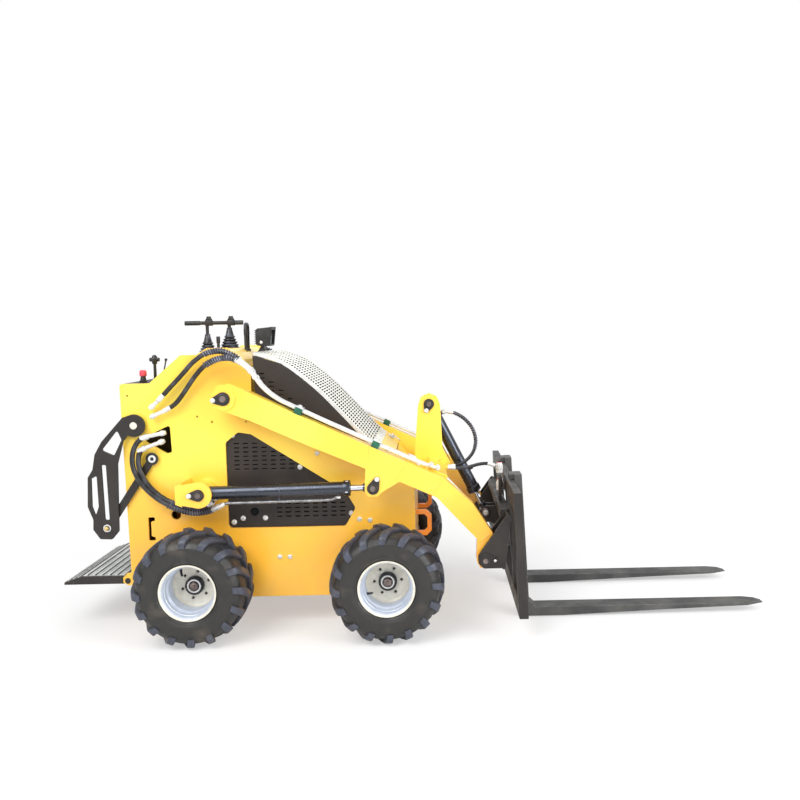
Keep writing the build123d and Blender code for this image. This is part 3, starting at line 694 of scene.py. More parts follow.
class Piece:
    """A mesh under construction, with the shop operations that make it."""

    def __init__(self, main: Finish) -> None:
        """Start with nothing on the bench.

        Args:
            main: The finish of every part that names no other.
        """
        self.mesh = bmesh.new()
        self.finishes: list[Finish] = [main]

    def take(self, part: bmesh.types.BMesh, finish: Finish | None = None, outward: bool = True) -> None:
        """Add a finished part to the piece.

        Args:
            part: The part, used up here.
            finish: Its finish, if not the piece's main one.
            outward: Turn its faces outwards first.
        """
        worn = finish or self.finishes[0]
        if worn not in self.finishes:
            self.finishes.append(worn)
        if outward:
            bmesh.ops.recalc_face_normals(part, faces=part.faces)
        for face in part.faces:
            face.material_index = self.finishes.index(worn)
        carrier = bpy.data.meshes.new("carrier")
        part.to_mesh(carrier)
        part.free()
        self.mesh.from_mesh(carrier)
        bpy.data.meshes.remove(carrier)

    def rod(
        self, start: Vector, end: Vector, radius: float, end_radius: float | None = None, sides: int = 24,
        finish: Finish | None = None, edge: float = 0.0,
    ) -> None:
        """A closed rod or cone between two points.

        Args:
            start: Centre of one end.
            end: Centre of the other end.
            radius: Radius in metres.
            end_radius: Radius at the end, if it tapers.
            sides: Sides of its section.
            finish: Its finish, if not the piece's main one.
            edge: Bevel on its end edges.
        """
        part = bmesh.new()
        way = end - start
        tip = radius if end_radius is None else end_radius
        bmesh.ops.create_cone(
            part, cap_ends=True, segments=sides, radius1=radius, radius2=tip, depth=way.length,
            matrix=facing(way, (start + end) / 2),
        )
        if edge:
            bevelled(part, [e for e in part.edges if any(len(f.verts) > 4 for f in e.link_faces)], edge)
        self.take(part, finish)

    def block(
        self, centre: Vector, size: Triple, turn: Matrix | None = None, finish: Finish | None = None,
        edge: float = 0.0,
    ) -> None:
        """A box with bevelled edges.

        Args:
            centre: Its middle.
            size: Its sizes along its own axes, in metres.
            turn: Its turn, as a 4x4 rotation.
            finish: Its finish, if not the piece's main one.
            edge: Bevel on all its edges.
        """
        part = bmesh.new()
        place = Matrix.Translation(centre) @ (turn or Matrix.Identity(4)) @ Matrix.Diagonal((*size, 1.0))
        bmesh.ops.create_cube(part, size=1.0, matrix=place)
        if edge:
            bevelled(part, part.edges[:], edge)
        self.take(part, finish)

    def plate(
        self, corners: Route, depth: Vector, finish: Finish | None = None, edge: float = 0.0,
        round_corners: float = 0.0,
    ) -> None:
        """A flat plate cut to an outline.

        Args:
            corners: The outline's corners.
            depth: From one face to the other.
            finish: Its finish, if not the piece's main one.
            edge: Bevel round both faces.
            round_corners: Radius of the outline's corners.
        """
        part = bmesh.new()
        face = part.faces.new([part.verts.new(corner) for corner in corners])
        if round_corners:
            bmesh.ops.bevel(
                part, geom=face.verts[:], offset=round_corners, segments=6, profile=0.5, affect="VERTICES",
                material=-1, clamp_overlap=True,
            )
        pushed(part, depth)
        bmesh.ops.recalc_face_normals(part, faces=part.faces)
        if edge:
            way = depth.normalized()
            flat = [e for e in part.edges if sum(abs(f.normal.dot(way)) > 0.99 for f in e.link_faces) == 1]
            bevelled(part, flat, edge)
        self.take(part, finish)

    def lathe(
        self, profile: list[Pair], centre: Vector, axis: Vector, steps: int = 48, loop: bool = False,
        finish: Finish | None = None,
    ) -> None:
        """A turned shape.

        Args:
            profile: Radius and distance along the axis of each point, in millimetres.
            centre: Where the distances start.
            axis: Direction of the turning axis.
            steps: Steps round the axis.
            loop: The profile closes on itself.
            finish: Its finish, if not the piece's main one.
        """
        part = bmesh.new()
        base = facing(axis, centre)
        ring = [part.verts.new(base @ Vector((radius / 1000, 0, along / 1000))) for radius, along in profile]
        edges = [part.edges.new(pair) for pair in zip(ring, ring[1:])]
        if loop:
            edges.append(part.edges.new((ring[-1], ring[0])))
        bmesh.ops.spin(
            part, geom=ring + edges, cent=centre, axis=axis, angle=math.tau, steps=steps, use_merge=True,
        )
        bmesh.ops.remove_doubles(part, verts=part.verts, dist=1e-6)
        self.take(part, finish)

    def tube(
        self, route: Route, radius: float, sides: int = 14, finish: Finish | None = None, ripple: float = 0.0,
    ) -> None:
        """A round bar swept along a route and closed at its ends.

        Args:
            route: Points along its middle.
            radius: Radius in metres.
            sides: Sides of its section.
            finish: Its finish, if not the piece's main one.
            ripple: Share by which its rings swell and shrink in turn, as in a weld.
        """
        part = bmesh.new()
        frames = frames_along(route)
        bmesh.ops.create_circle(part, segments=sides, radius=radius, matrix=frames[0])
        edges = part.edges[:]
        full = 1.0
        for n in range(1, len(frames)):
            made = bmesh.ops.extrude_edge_only(part, edges=edges)
            ring = corners_of(made["geom"])
            fresh = set(ring)
            edges = [
                item for item in made["geom"]
                if isinstance(item, bmesh.types.BMEdge) and item.verts[0] in fresh and item.verts[1] in fresh
            ]
            want = 1.0 + ripple * math.sin(n * 2.1)
            grow = Matrix.Scale(want / full, 4)
            full = want
            bmesh.ops.transform(part, matrix=frames[n] @ grow @ frames[n - 1].inverted(), verts=ring)
        bmesh.ops.holes_fill(part, edges=part.edges[:], sides=0)
        self.take(part, finish)

    def coil(
        self, route: Route, radius: float, pitch: float, wire: float, finish: Finish | None = None,
    ) -> None:
        """A wrap wound round a hose.

        Args:
            route: Points along the hose's middle.
            radius: Radius of the winding.
            pitch: Distance from one turn to the next.
            wire: Half the wrap's width.
            finish: Its finish, if not the piece's main one.
        """
        per_turn = 10
        line = even_route(route, pitch / per_turn)
        around = []
        for n, stand in enumerate(frames_along(line)):
            turn = math.tau * n / per_turn
            around.append(stand @ Vector((radius * math.cos(turn), radius * math.sin(turn), 0)))
        self.tube(around, wire, sides=6, finish=finish)

    def weld(self, route: Route, radius: float = 0.003, finish: Finish | None = None) -> None:
        """A rippled weld bead laid along a route."""
        self.tube(even_route(route, radius * 1.1), radius, sides=8, finish=finish, ripple=0.16)

    def bolt(self, foot: Vector, axis: Vector, size: float, head: Head, finish: Finish | None = None) -> None:
        """A bolt's head, standing on a face.

        Args:
            foot: Where it stands.
            axis: Direction that it faces.
            size: Radius of its thread, in metres.
            head: Which head it has.
            finish: Its finish, if not the piece's main one.
        """
        top = foot + axis * size * 0.35
        if head is Head.HEX:
            crown = top + axis * size * 1.15
            self.rod(foot - axis * SINK, top, size * 2.1, sides=28, finish=finish, edge=size * 0.08)
            self.rod(top, crown, size * 1.72, sides=6, finish=finish)
            self.rod(crown, crown + axis * size * 0.17, size * 1.5, size * 1.3, sides=24, finish=finish)
            return
        dome = ((2, 0), (1.95, 0.4), (1.6, 0.85), (0.95, 1.15), (0.75, 1.15), (0.7, 0.6), (0, 0.6))
        profile = [(radius * size * 1000, height * size * 1000) for radius, height in dome]
        self.lathe(profile, foot - axis * SINK, axis, steps=24, finish=finish)

    def mirrored(self) -> "Piece":
        """This piece with its like added on the other side of the centre line."""
        made = bmesh.ops.duplicate(self.mesh, geom=whole(self.mesh))
        verts = corners_of(made["geom"])
        faces = [item for item in made["geom"] if isinstance(item, bmesh.types.BMFace)]
        bmesh.ops.scale(self.mesh, vec=(1, -1, 1), verts=verts)
        bmesh.ops.reverse_faces(self.mesh, faces=faces)
        return self

    def done(
        self, name: str, slot: str, body: str | None, sharp: float = 38.0,
    ) -> bpy.types.Object:
        """Turn the bench's mesh into a finished piece.

        Args:
            name: The piece's name.
            slot: The record's slot; not used.
            body: The body it rides on, or None to leave it on no body.
            sharp: Degrees above which an edge stays crisp.

        Returns:
            The finished object, at the origin, with its place in its mesh.
        """
        shape = bpy.data.meshes.new(name)
        self.mesh.to_mesh(shape)
        self.mesh.free()
        for finish in self.finishes:
            shape.materials.append(finish.material())
        shape.shade_smooth()
        shape.set_sharp_from_angle(angle=math.radians(sharp))
        piece = bpy.data.objects.new(name, shape)
        bpy.context.scene.collection.objects.link(piece)
        if body is not None:
            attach(piece, body)
        log.info("%s: %d faces on %s", name, len(shape.polygons), body or "two bodies")
        return piece


# ---- wheels ------------------------------------------------------------------------------


@dataclass
class Wheel:
    """A traction tyre on its deep-dished rim, with hub cap and valve.

    Sizes are in metres; the wheel is made about its own axle and then moved there.
    """

    end: str
    side: Side
    axle_x: float
    axle_z: float = 217.0
    track_half: float = 445.0
    lug_count: int = 16
    lug_depth: float = 0.0148
    lug_lean: float = 0.054
    lug_reach: float = 0.110
    widest: float = 0.1017
    hole_turn: float = 3.0
    hole_circle: float = 0.052
    disc_at: float = -0.020
    cap_at: float = 0.008
    carcass: tuple[Pair, ...] = (
        (0.0968, 0.0775), (0.1012, 0.0795), (0.1064, 0.0823), (0.1107, 0.0879), (0.1164, 0.0926),
        (0.1225, 0.0958), (0.1311, 0.0988), (0.1425, 0.1009), (0.1530, 0.1009), (0.1615, 0.0998),
        (0.1691, 0.0980), (0.1743, 0.0971), (0.1758, 0.0950), (0.1805, 0.0926), (0.1862, 0.0884),
        (0.1919, 0.0822), (0.1962, 0.0732), (0.1990, 0.0618), (0.2004, 0.0475), (0.2012, 0.0285),
        (0.2014, 0.0114), (0.2014, 0.0),
    )

    @property
    def body(self) -> str:
        """The wheel's body."""
        return "wheel_" + self.end + "_" + self.side.word

    @property
    def centre(self) -> Vector:
        """The middle of the wheel."""
        return self.side.spot(self.axle_x, self.track_half, self.axle_z)

    def tread_point(self, across: float, height: float) -> Pair:
        """A point over the tread.

        Args:
            across: Distance from the middle of the tread outwards, round the shoulder.
            height: Height above the carcass.

        Returns:
            Its radius and its distance from the wheel's middle.
        """
        skin = [Vector((out, radius)) for radius, out in reversed(self.carcass)]
        left = across
        for one, other in zip(skin, skin[1:]):
            run = (other - one).length
            if left <= run or other is skin[-1]:
                way = (other - one).normalized()
                at = one + way * left
                lifted = at + Vector((-way.y, way.x)) * height
                return lifted.y, lifted.x
            left -= run
        return skin[-1].y, skin[-1].x

    def lug(self) -> bmesh.types.BMesh:
        """One lug: a leaning bar from the middle of the tread round the shoulder, with a blunt end."""
        part = bmesh.new()
        bmesh.ops.create_grid(part, x_segments=15, y_segments=2, size=0.5)
        top = set(pushed(part, UP))
        bmesh.ops.recalc_face_normals(part, faces=part.faces)
        rims = [e for e in part.edges if e.calc_face_angle(0) > 1 and e.verts[0] in top and e.verts[1] in top]
        bevelled(part, rims, 0.07)
        reach = part.verts.layers.float.new("reach")
        for vert in part.verts:
            along = vert.co.x + 0.5
            across = 0.002 + along * self.lug_reach
            wide = 0.0275 - 0.0020 * along + (1 - vert.co.z) * 0.008
            depth = self.lug_depth * (1.0 - 0.30 * max(0.0, along - 0.80) / 0.20)
            around = vert.co.y * wide - math.sin(along * 1.35) * self.lug_lean
            radius, out = self.tread_point(across, -0.0015 + vert.co.z * (depth + 0.0015))
            turn = around / 0.2015
            # Lug tops get the most grey-blue: partly wear, partly a painted sheen.
            vert[reach] = vert.co.z
            vert.co = Vector((radius * math.sin(turn), min(out, self.widest), radius * math.cos(turn)))
        return part

    def tyre(self) -> bpy.types.Object:
        """Carcass with a ridge at the shoulder, and two staggered rows of lugs."""
        piece = Piece(TYRE)
        body = bmesh.new()
        reach = body.verts.layers.float.new("reach")
        skin = [body.verts.new((0, out, radius)) for radius, out in self.carcass]
        skin += [body.verts.new((0, -out, radius)) for radius, out in reversed(self.carcass[:-1])]
        edges = [body.edges.new(pair) for pair in zip(skin, skin[1:])]
        edges.append(body.edges.new((skin[-1], skin[0])))
        bmesh.ops.spin(
            body, geom=skin + edges, cent=(0, 0, 0), axis=(0, 1, 0), angle=math.tau, steps=112,
            use_merge=True,
        )
        for vert in body.verts:
            radius = math.hypot(vert.co.x, vert.co.z)
            # The tread's crown between the lugs gets a little of the grey-blue too: wear and painted sheen.
            vert[reach] = 0.3 * min(1.0, max(0.0, (radius - 0.190) / 0.010))
        piece.take(body)
        pitch = math.tau / self.lug_count
        for row in (0, 1):
            lugs = self.lug()
            if row:
                bmesh.ops.scale(lugs, vec=(1, -1, 1), verts=lugs.verts)
                bmesh.ops.reverse_faces(lugs, faces=lugs.faces)
                stagger = Matrix.Rotation(pitch / 2, 3, "Y")
                bmesh.ops.rotate(lugs, cent=(0, 0, 0), matrix=stagger, verts=lugs.verts)
            bmesh.ops.spin(
                lugs, geom=whole(lugs), cent=(0, 0, 0), axis=(0, 1, 0), angle=math.tau - pitch,
                steps=self.lug_count - 1, use_duplicate=True,
            )
            piece.take(lugs)
        for out in (-1, 1):
            ring = [(112.1, 90.7), (114, 93.9), (117.3, 94.5), (119.2, 92.9)]
            piece.lathe(ring, Vector(), Vector((0, out, 0)), steps=96)
        bmesh.ops.transform(piece.mesh, matrix=self.placed(), verts=piece.mesh.verts)
        name = "tyre_" + self.end + "_" + self.side.word + "_tread"
        made = piece.done(name, "tyre_rubber", self.body, sharp=50)
        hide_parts("tyre_" + self.end + "_" + self.side.word)
        return made

    def placed(self) -> Matrix:
        """From the wheel's own frame, outboard along -y, to its place."""
        turn = Matrix.Rotation(math.pi, 4, "Z") if self.side is Side.LEFT else Matrix.Identity(4)
        return Matrix.Translation(self.centre) @ turn

    def rim(self) -> bpy.types.Object:
        """Rolled flanges, stepped barrel, six-hole disc, cap ring, nut and valve."""
        piece = Piece(RIM_PAINT)
        out = Vector((0, -1, 0))
        outer = [
            (104, 88), (105.8, 87.5), (106.5, 85.7), (106, 83.5), (101.5, 80.6), (98, 78.6),
            (95.8, 76), (95.3, 47), (91.2, 39), (87.8, 36.5), (87.8, -36.5), (91.2, -39),
            (95.3, -47), (95.8, -76), (98, -78.6), (101.5, -80.6), (106, -83.5),
            (106.5, -85.7), (105.8, -87.5), (104, -88),
        ]
        inner = [
            (100, -86.2), (95, -81.5), (92.8, -76), (92.2, -48), (88.5, -40.5),
            (83.8, -38), (83.8, 33.5), (85.2, 37.2), (89.5, 41), (92, 47),
            (92.2, 60), (90.8, 61.2), (90.8, 63.4), (92.6, 65), (93, 74),
            (94.4, 78.5), (97.5, 83.5), (101, 86.8),
        ]
        piece.lathe(outer + inner, Vector(), out, steps=112, loop=True, finish=RIM_BARREL)
        lip = [
            (106.3, 87.2), (107.1, 86.2), (106.8, 88.8), (104, 89.2), (100.2, 87.2), (98, 84.6), (98.6, 84),
        ]
        piece.lathe(lip, Vector(), out, steps=112, loop=True)
        disc = bmesh.new()
        front = facing(out, out * self.disc_at)
        bmesh.ops.create_circle(disc, segments=96, radius=0.0760, matrix=front)
        bmesh.ops.create_circle(disc, segments=48, radius=0.0235, matrix=front)
        holes: list[Matrix] = []
        for n in range(6):
            turn = Matrix.Rotation(math.radians(60 * n + self.hole_turn), 4, "Z")
            holes.append(front @ turn @ Matrix.Translation((self.hole_circle, 0, 0)))
        for hole in holes:
            bmesh.ops.create_circle(disc, segments=20, radius=0.0058, matrix=hole)
        bmesh.ops.triangle_fill(disc, use_beauty=True, edges=disc.edges[:], normal=out)
        pushed(disc, out * -0.008)
        piece.take(disc)
        shoulder = [(75.5, -20), (79, -19.2), (82, -16.2), (83.6, -11.5), (84.1, -5)]
        shoulder += [(84.1, -28), (75.5, -28)]
        piece.lathe(shoulder, Vector(), out, steps=96, loop=True)
        for hole in holes:
            rim = [(6, -0.2), (6.4, 1), (8.2, 1), (9, -0.2)]
            piece.lathe(rim, hole.translation, out, steps=24, loop=True)
        collar = [
            (35, -30), (35, -10), (33.8, -7), (30, -4.5), (27.2, -5.2),
            (26.5, -11), (0, -11),
        ]
        piece.lathe(collar, out * self.cap_at, out, steps=64, finish=BLACK_PLASTIC)
        # Black disc just behind the wheel's disc, painted shade that keeps its holes dark.
        piece.rod(out * -0.0300, out * -0.0284, 0.0700, sides=64, finish=BLACK_PLASTIC)
        ring = [(26.4, -11.2), (26.4, -7.2), (25, -5.8), (20.8, -5.8), (19.8, -8), (19.8, -11.2)]
        piece.lathe(ring, out * self.cap_at, out, steps=64, finish=ZINC, loop=True)
        piece.rod(out * -0.003, out * 0.0075, 0.0172, sides=6, finish=DARK_STEEL)
        piece.rod(out * 0.0074, out * 0.0090, 0.0148, 0.0130, sides=28, finish=DARK_STEEL)
        piece.rod(out * 0.0085, out * 0.0132, 0.0072, 0.0062, sides=24, finish=DARK_STEEL)
        lean = math.radians(VALVE_TURN[self.end])
        foot = Vector((math.cos(lean) * 0.0836, -0.026, math.sin(lean) * 0.0836))
        inward = Vector((-math.cos(lean), -0.9, -math.sin(lean))).normalized()
        neck = foot + inward * 0.018
        piece.rod(foot, neck, 0.0056, 0.0042, sides=18, finish=BLACK_PLASTIC)
        piece.rod(neck, foot + inward * 0.030, 0.0044, sides=12, finish=BLACK_PLASTIC, edge=0.0006)
        bmesh.ops.transform(piece.mesh, matrix=self.placed(), verts=piece.mesh.verts)
        name = "rim_" + self.end + "_" + self.side.word
        made = piece.done(name + "_dressed", "rim_silver", self.body)
        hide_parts(name)
        return made

    def make(self) -> list[bpy.types.Object]:
        """Build the tyre and the rim."""
        return [self.tyre(), self.rim()]


# ---- body ----------------------------------------------------------------------------------


@dataclass
class Keeper:
    """A pin's end with its teardrop keeper plate and bolt. Sizes in millimetres."""

    pin: Pair
    radius: float
    bolt: Pair
    out: float
    reach_in: float

    def add(self, piece: Piece, side: Side) -> None:
        """Add the pin, plate and bolt to a piece.

        Args:
            piece: The piece, whose main finish the plate and the pin wear.
            side: The side it is on.
        """
        centre = Vector(self.pin)
        tail = Vector(self.bolt)
        way = (tail - centre).normalized()
        across = Vector((-way.y, way.x))
        wide = self.radius + 7.0
        narrow = 10.0
        lean = math.asin(min(0.9, (wide - narrow) / (tail - centre).length))
        head_arc = (centre, wide, math.pi / 2 - lean, math.pi + 2 * lean, 18)
        tail_arc = (tail, narrow, -math.pi / 2 + lean, math.pi - 2 * lean, 8)
        ring: list[Vector] = []
        for middle, radius, start, sweep, steps in (head_arc, tail_arc):
            for n in range(steps + 1):
                turn = start + sweep * n / steps
                ring.append(middle + (way * math.cos(turn) + across * math.sin(turn)) * radius)
        corners = [side.spot(p.x, self.out, p.y) for p in ring]
        piece.plate(corners, side.outward * 0.005, edge=0.0008)
        foot = side.at(self.pin, self.reach_in)
        face = side.at(self.pin, self.out + 9)
        piece.rod(foot, face, self.radius / 1000, sides=40, edge=0.0016)
        piece.rod(face, face + side.outward * 0.0005, self.radius * 0.00066, sides=32, finish=DARK_STEEL)
        piece.bolt(side.spot(tail.x, self.out + 5, tail.y), side.outward, 0.0045, Head.HEX, finish=ZINC)


@dataclass
class BodyTrim:
    """Bolts, weld beads and pins of the body. Places in millimetres."""

    bolts: tuple[Pair, ...] = (
        (86, 692), (-74, 279), (-34, 278), (246, 425), (288, 420),
    )
    panel_bolts: tuple[Pair, ...] = (
        (-246, 768), (16, 636), (-252, 420), (-216, 435), (-128, 435), (214, 447),
    )

    def make(self) -> list[bpy.types.Object]:
        """Build the trim of both sides."""
        piece = Piece(ZINC)
        side = Side.RIGHT
        for place in self.bolts:
            piece.bolt(side.at(place, PLATE_FACE), side.outward, 0.0050, Head.DOME)
        for place in self.panel_bolts:
            piece.bolt(side.at(place, PANEL_FACE), side.outward, 0.0056, Head.DOME)
        seat = side.at(STAY_PIVOT, 298.8)
        piece.rod(side.at(STAY_PIVOT, 297.6), seat, 0.0250, sides=48, finish=BLACK_PLASTIC, edge=0.0004)
        ring = [(14.5, 0), (15, 1.4), (14, 2.6), (7.8, 2.6), (7, 0)]
        piece.lathe(ring, seat, side.outward, steps=40, loop=True)
        bolts = piece.mirrored().done("plate_bolts", "zinc", "frame")
        return [bolts, self.welds(), self.base_pins(), self.port_ring(), self.baffles()]

    def welds(self) -> bpy.types.Object:
        """Weld beads round the cylinder bracket, the pivot boss and the tow rings."""
        piece = Piece(BODY_YELLOW)
        side = Side.RIGHT
        for (x, z), radius, steps in ((LIFT_BASE, 39, 32), (ARM_PIVOT, 41, 40)):
            turns = [math.tau * n / steps for n in range(steps + 1)]
            ring = [(x + radius * math.cos(turn), z + radius * math.sin(turn)) for turn in turns]
            piece.weld([side.at(place, WELD_FACE) for place in ring], 0.0032)
        for x, low, high in ((-437, 525, 593), (-411, 515, 603)):
            piece.weld([side.spot(x, WELD_FACE, low), side.spot(x, WELD_FACE, high)], 0.0030)
        for low, high in ((437, 451), (349, 363)):
            for out in (263, 243):
                piece.weld([side.spot(468, out, low), side.spot(468, out, high)], 0.0026)
        return piece.mirrored().done("body_welds", "yellow_paint", "frame", sharp=60)

    def base_pins(self) -> bpy.types.Object:
        """Pins at the lift cylinders' tails, with their keepers."""
        piece = Piece(BLACK_COAT)
        Keeper(LIFT_BASE, 16, (-383, 557), 416, 347).add(piece, Side.RIGHT)
        made = piece.mirrored().done("base_pins_dressed", "zinc", "frame")
        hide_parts("base_pins")
        return made

    def port_ring(self) -> bpy.types.Object:
        """Rubber-edged port in the lower side panel, with the pipe stub inside."""
        piece = Piece(BLACK_PLASTIC)
        side = Side.RIGHT
        lip = [(16.8, -3), (19.5, -1), (19.5, 1.5), (17.2, 2.2), (16, 1), (16, -3)]
        mouth = side.spot(-169, PANEL_FACE, 462)
        piece.lathe(lip, mouth, side.outward, steps=48, loop=True)
        stub = [(12, -30), (12, -6), (10.8, -5), (9.5, -6), (9.5, -30)]
        piece.lathe(stub, mouth, side.outward, steps=40, loop=True, finish=DARK_STEEL)
        return piece.mirrored().done("panel_port", "moulded_black", "frame")

    def baffles(self) -> bpy.types.Object:
        """Black sheets behind the punched panels, painted shade that keeps the bay from being seen through
        their slots.
        """
        piece = Piece(SHADE_SHEET_BLACK)
        lower = ((-284, 390), (-284, 745), (-222, 792), (-160, 780), (208, 540), (242, 468), (200, 390))
        cheek = (
            (-150, 1068), (-44, 1036), (82, 934), (202, 806), (292, 706), (360, 652), (300, 684), (-146, 894),
        )
        for corners, face in ((lower, 270.0), (cheek, 263.0)):
            piece.plate([Side.RIGHT.spot(x, face, z) for x, z in corners], Side.RIGHT.outward * -0.0012)
        return piece.mirrored().done("panel_baffles", "moulded_black", "frame")


@dataclass
class Bonnet:
    """Curved bonnet of slotted sheet with plain borders and latches. Sizes in millimetres."""

    ridge: tuple[Pair, ...] = (
        (-152, 1090), (-40, 1056), (90, 952), (210, 822), (300, 722), (385, 662),
    )
    half: float = 268.0
    pitch: float = 11.6
    bar: float = 5.2
    columns: int = 7
    slot_share: float = 0.74
    lip: float = 34.0
    border: float = 15.0

    def line(self) -> Route:
        """The bonnet's side profile, rounded at its corners."""
        return smooth_route([spot(x, 0, z) for x, z in self.ridge])

    def skin(
        self, y_from: float, y_to: float, along_from: float, along_to: float, rows: int, columns: int,
    ) -> bmesh.types.BMesh:
        """A flat grid laid out along the bonnet's length, before it is bent.

        Args:
            y_from: One edge, in millimetres.
            y_to: Other edge.
            along_from: Distance along the profile where it starts, in metres.
            along_to: Where it ends.
            rows: Cells along.
            columns: Cells across.

        Returns:
            The grid, x along the profile and y across.
        """
        part = bmesh.new()
        bmesh.ops.create_grid(part, x_segments=rows, y_segments=columns, size=0.5)
        for vert in part.verts:
            along = along_from + (vert.co.x + 0.5) * (along_to - along_from)
            vert.co = Vector((along, (y_from + (vert.co.y + 0.5) * (y_to - y_from)) / 1000, 0))
        return part

    def bend(self, part: bmesh.types.BMesh, lift: float) -> None:
        """Bend a flat grid over the profile, lifted off it by some millimetres."""
        route = self.line()
        lengths = run_lengths(route)
        for vert in part.verts:
            at = 0
            while at < len(route) - 2 and lengths[at + 1] < vert.co.x:
                at += 1
            run = route[at + 1] - route[at]
            way = run.normalized()
            place = route[at] + way * (vert.co.x - lengths[at])
            normal = Vector((-way.z, 0, way.x))
            height = vert.co.z + lift / 1000
            vert.co = Vector((place.x, vert.co.y, place.z)) + normal * height

    def make(self) -> list[bpy.types.Object]:
        """Build the mesh skin, its borders and the latches."""
        length = run_lengths(self.line())[-1]
        margin = self.border / 1000
        apron = length - math.dist(self.ridge[-1], self.ridge[-2]) / 1000
        rows = int((apron - margin) * 1000 / self.pitch)
        skin = self.skin(-self.half + self.border, self.half - self.border, margin, apron, rows, self.columns)
        holes = skin.faces[:]
        bmesh.ops.inset_individual(skin, faces=holes, thickness=self.bar / 2000, use_even_offset=True)
        for hole in holes:
            middle = hole.calc_center_median()
            for vert in hole.verts:
                vert.co.y = middle.y + (vert.co.y - middle.y) * self.slot_share
        bmesh.ops.delete(skin, geom=holes, context="FACES_ONLY")
        loose = [edge for edge in skin.edges if not edge.link_faces]
        bmesh.ops.delete(skin, geom=loose, context="EDGES")
        self.bend(skin, 1.5)
        piece = Piece(SHEET_STEEL)
        piece.take(skin, outward=False)
        mesh = piece.done("bonnet_mesh", "mesh_steel", "frame")
        wall = mesh.modifiers.new("gauge", "SOLIDIFY")
        wall.thickness = 0.0016
        wall.offset = 1.0
        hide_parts("bonnet")
        return [mesh, self.borders(length, margin, apron), self.latch()]

    def borders(self, length: float, margin: float, apron: float) -> bpy.types.Object:
        """Plain strips round the mesh, turned down at the two sides, and the painted apron in front.

        Args:
            length: Length of the bonnet's profile, in metres.
            margin: Width of the strips.
            apron: Distance along the profile where the apron starts.

        Returns:
            The borders.
        """
        piece = Piece(ZINC)
        inner = self.half - self.border
        lip_end = apron + self.lip / 1000
        strips = (
            (-self.half, -inner, 0.0, length, 60, 2, ZINC), (inner, self.half, 0.0, length, 60, 2, ZINC),
            (-inner, inner, 0.0, margin, 2, 20, ZINC), (-inner, inner, apron, lip_end, 4, 20, SHEET_STEEL),
            (-inner, inner, lip_end, length, 8, 20, BODY_YELLOW),
        )
        for y_from, y_to, start, end, rows, columns, finish in strips:
            part = self.skin(y_from, y_to, start, end, rows, columns)
            pushed(part, UP * 0.004)
            self.bend(part, -1.5)
            piece.take(part, finish)
        for out in (-1, 1):
            part = self.skin(out * (self.half - 2.0), out * self.half, 0.0, length, 60, 1)
            pushed(part, UP * -0.007)
            self.bend(part, -1.5)
            piece.take(part)
        return piece.done("bonnet_border", "mesh_steel", "frame")

    def latch(self) -> bpy.types.Object:
        """Over-centre latches at the bonnet's lower edge."""
        piece = Piece(ZINC)
        way = (spot(385, 0, 662) - spot(300, 0, 722)).normalized()
        up = Vector((-way.z, 0, way.x))
        aside = Side.LEFT.outward
        half_loop = ((-0.004, 0.011, 0.008), (0.030, 0.011, 0.006), (0.040, 0.006, 0.004))
        for y in (-200, 200):
            foot = spot(352, y, 686) + up * 0.006
            barrel = foot + up * 0.008
            piece.block(foot, (0.044, 0.030, 0.004), facing(up, Vector()), edge=0.001)
            piece.rod(barrel - aside * 0.018, barrel + aside * 0.018, 0.0050, sides=16, edge=0.0008)
            loop = [foot + way * run - aside * wide + up * high for run, wide, high in half_loop]
            loop += [foot + way * run + aside * wide + up * high for run, wide, high in reversed(half_loop)]
            piece.tube(smooth_route(loop, 6), 0.0022, sides=10)
            for offset in (0.009, -0.009):
                piece.bolt(foot - way * 0.014 + aside * offset + up * 0.002, up, 0.0024, Head.DOME)
        return piece.done("bonnet_latches", "zinc", "frame")


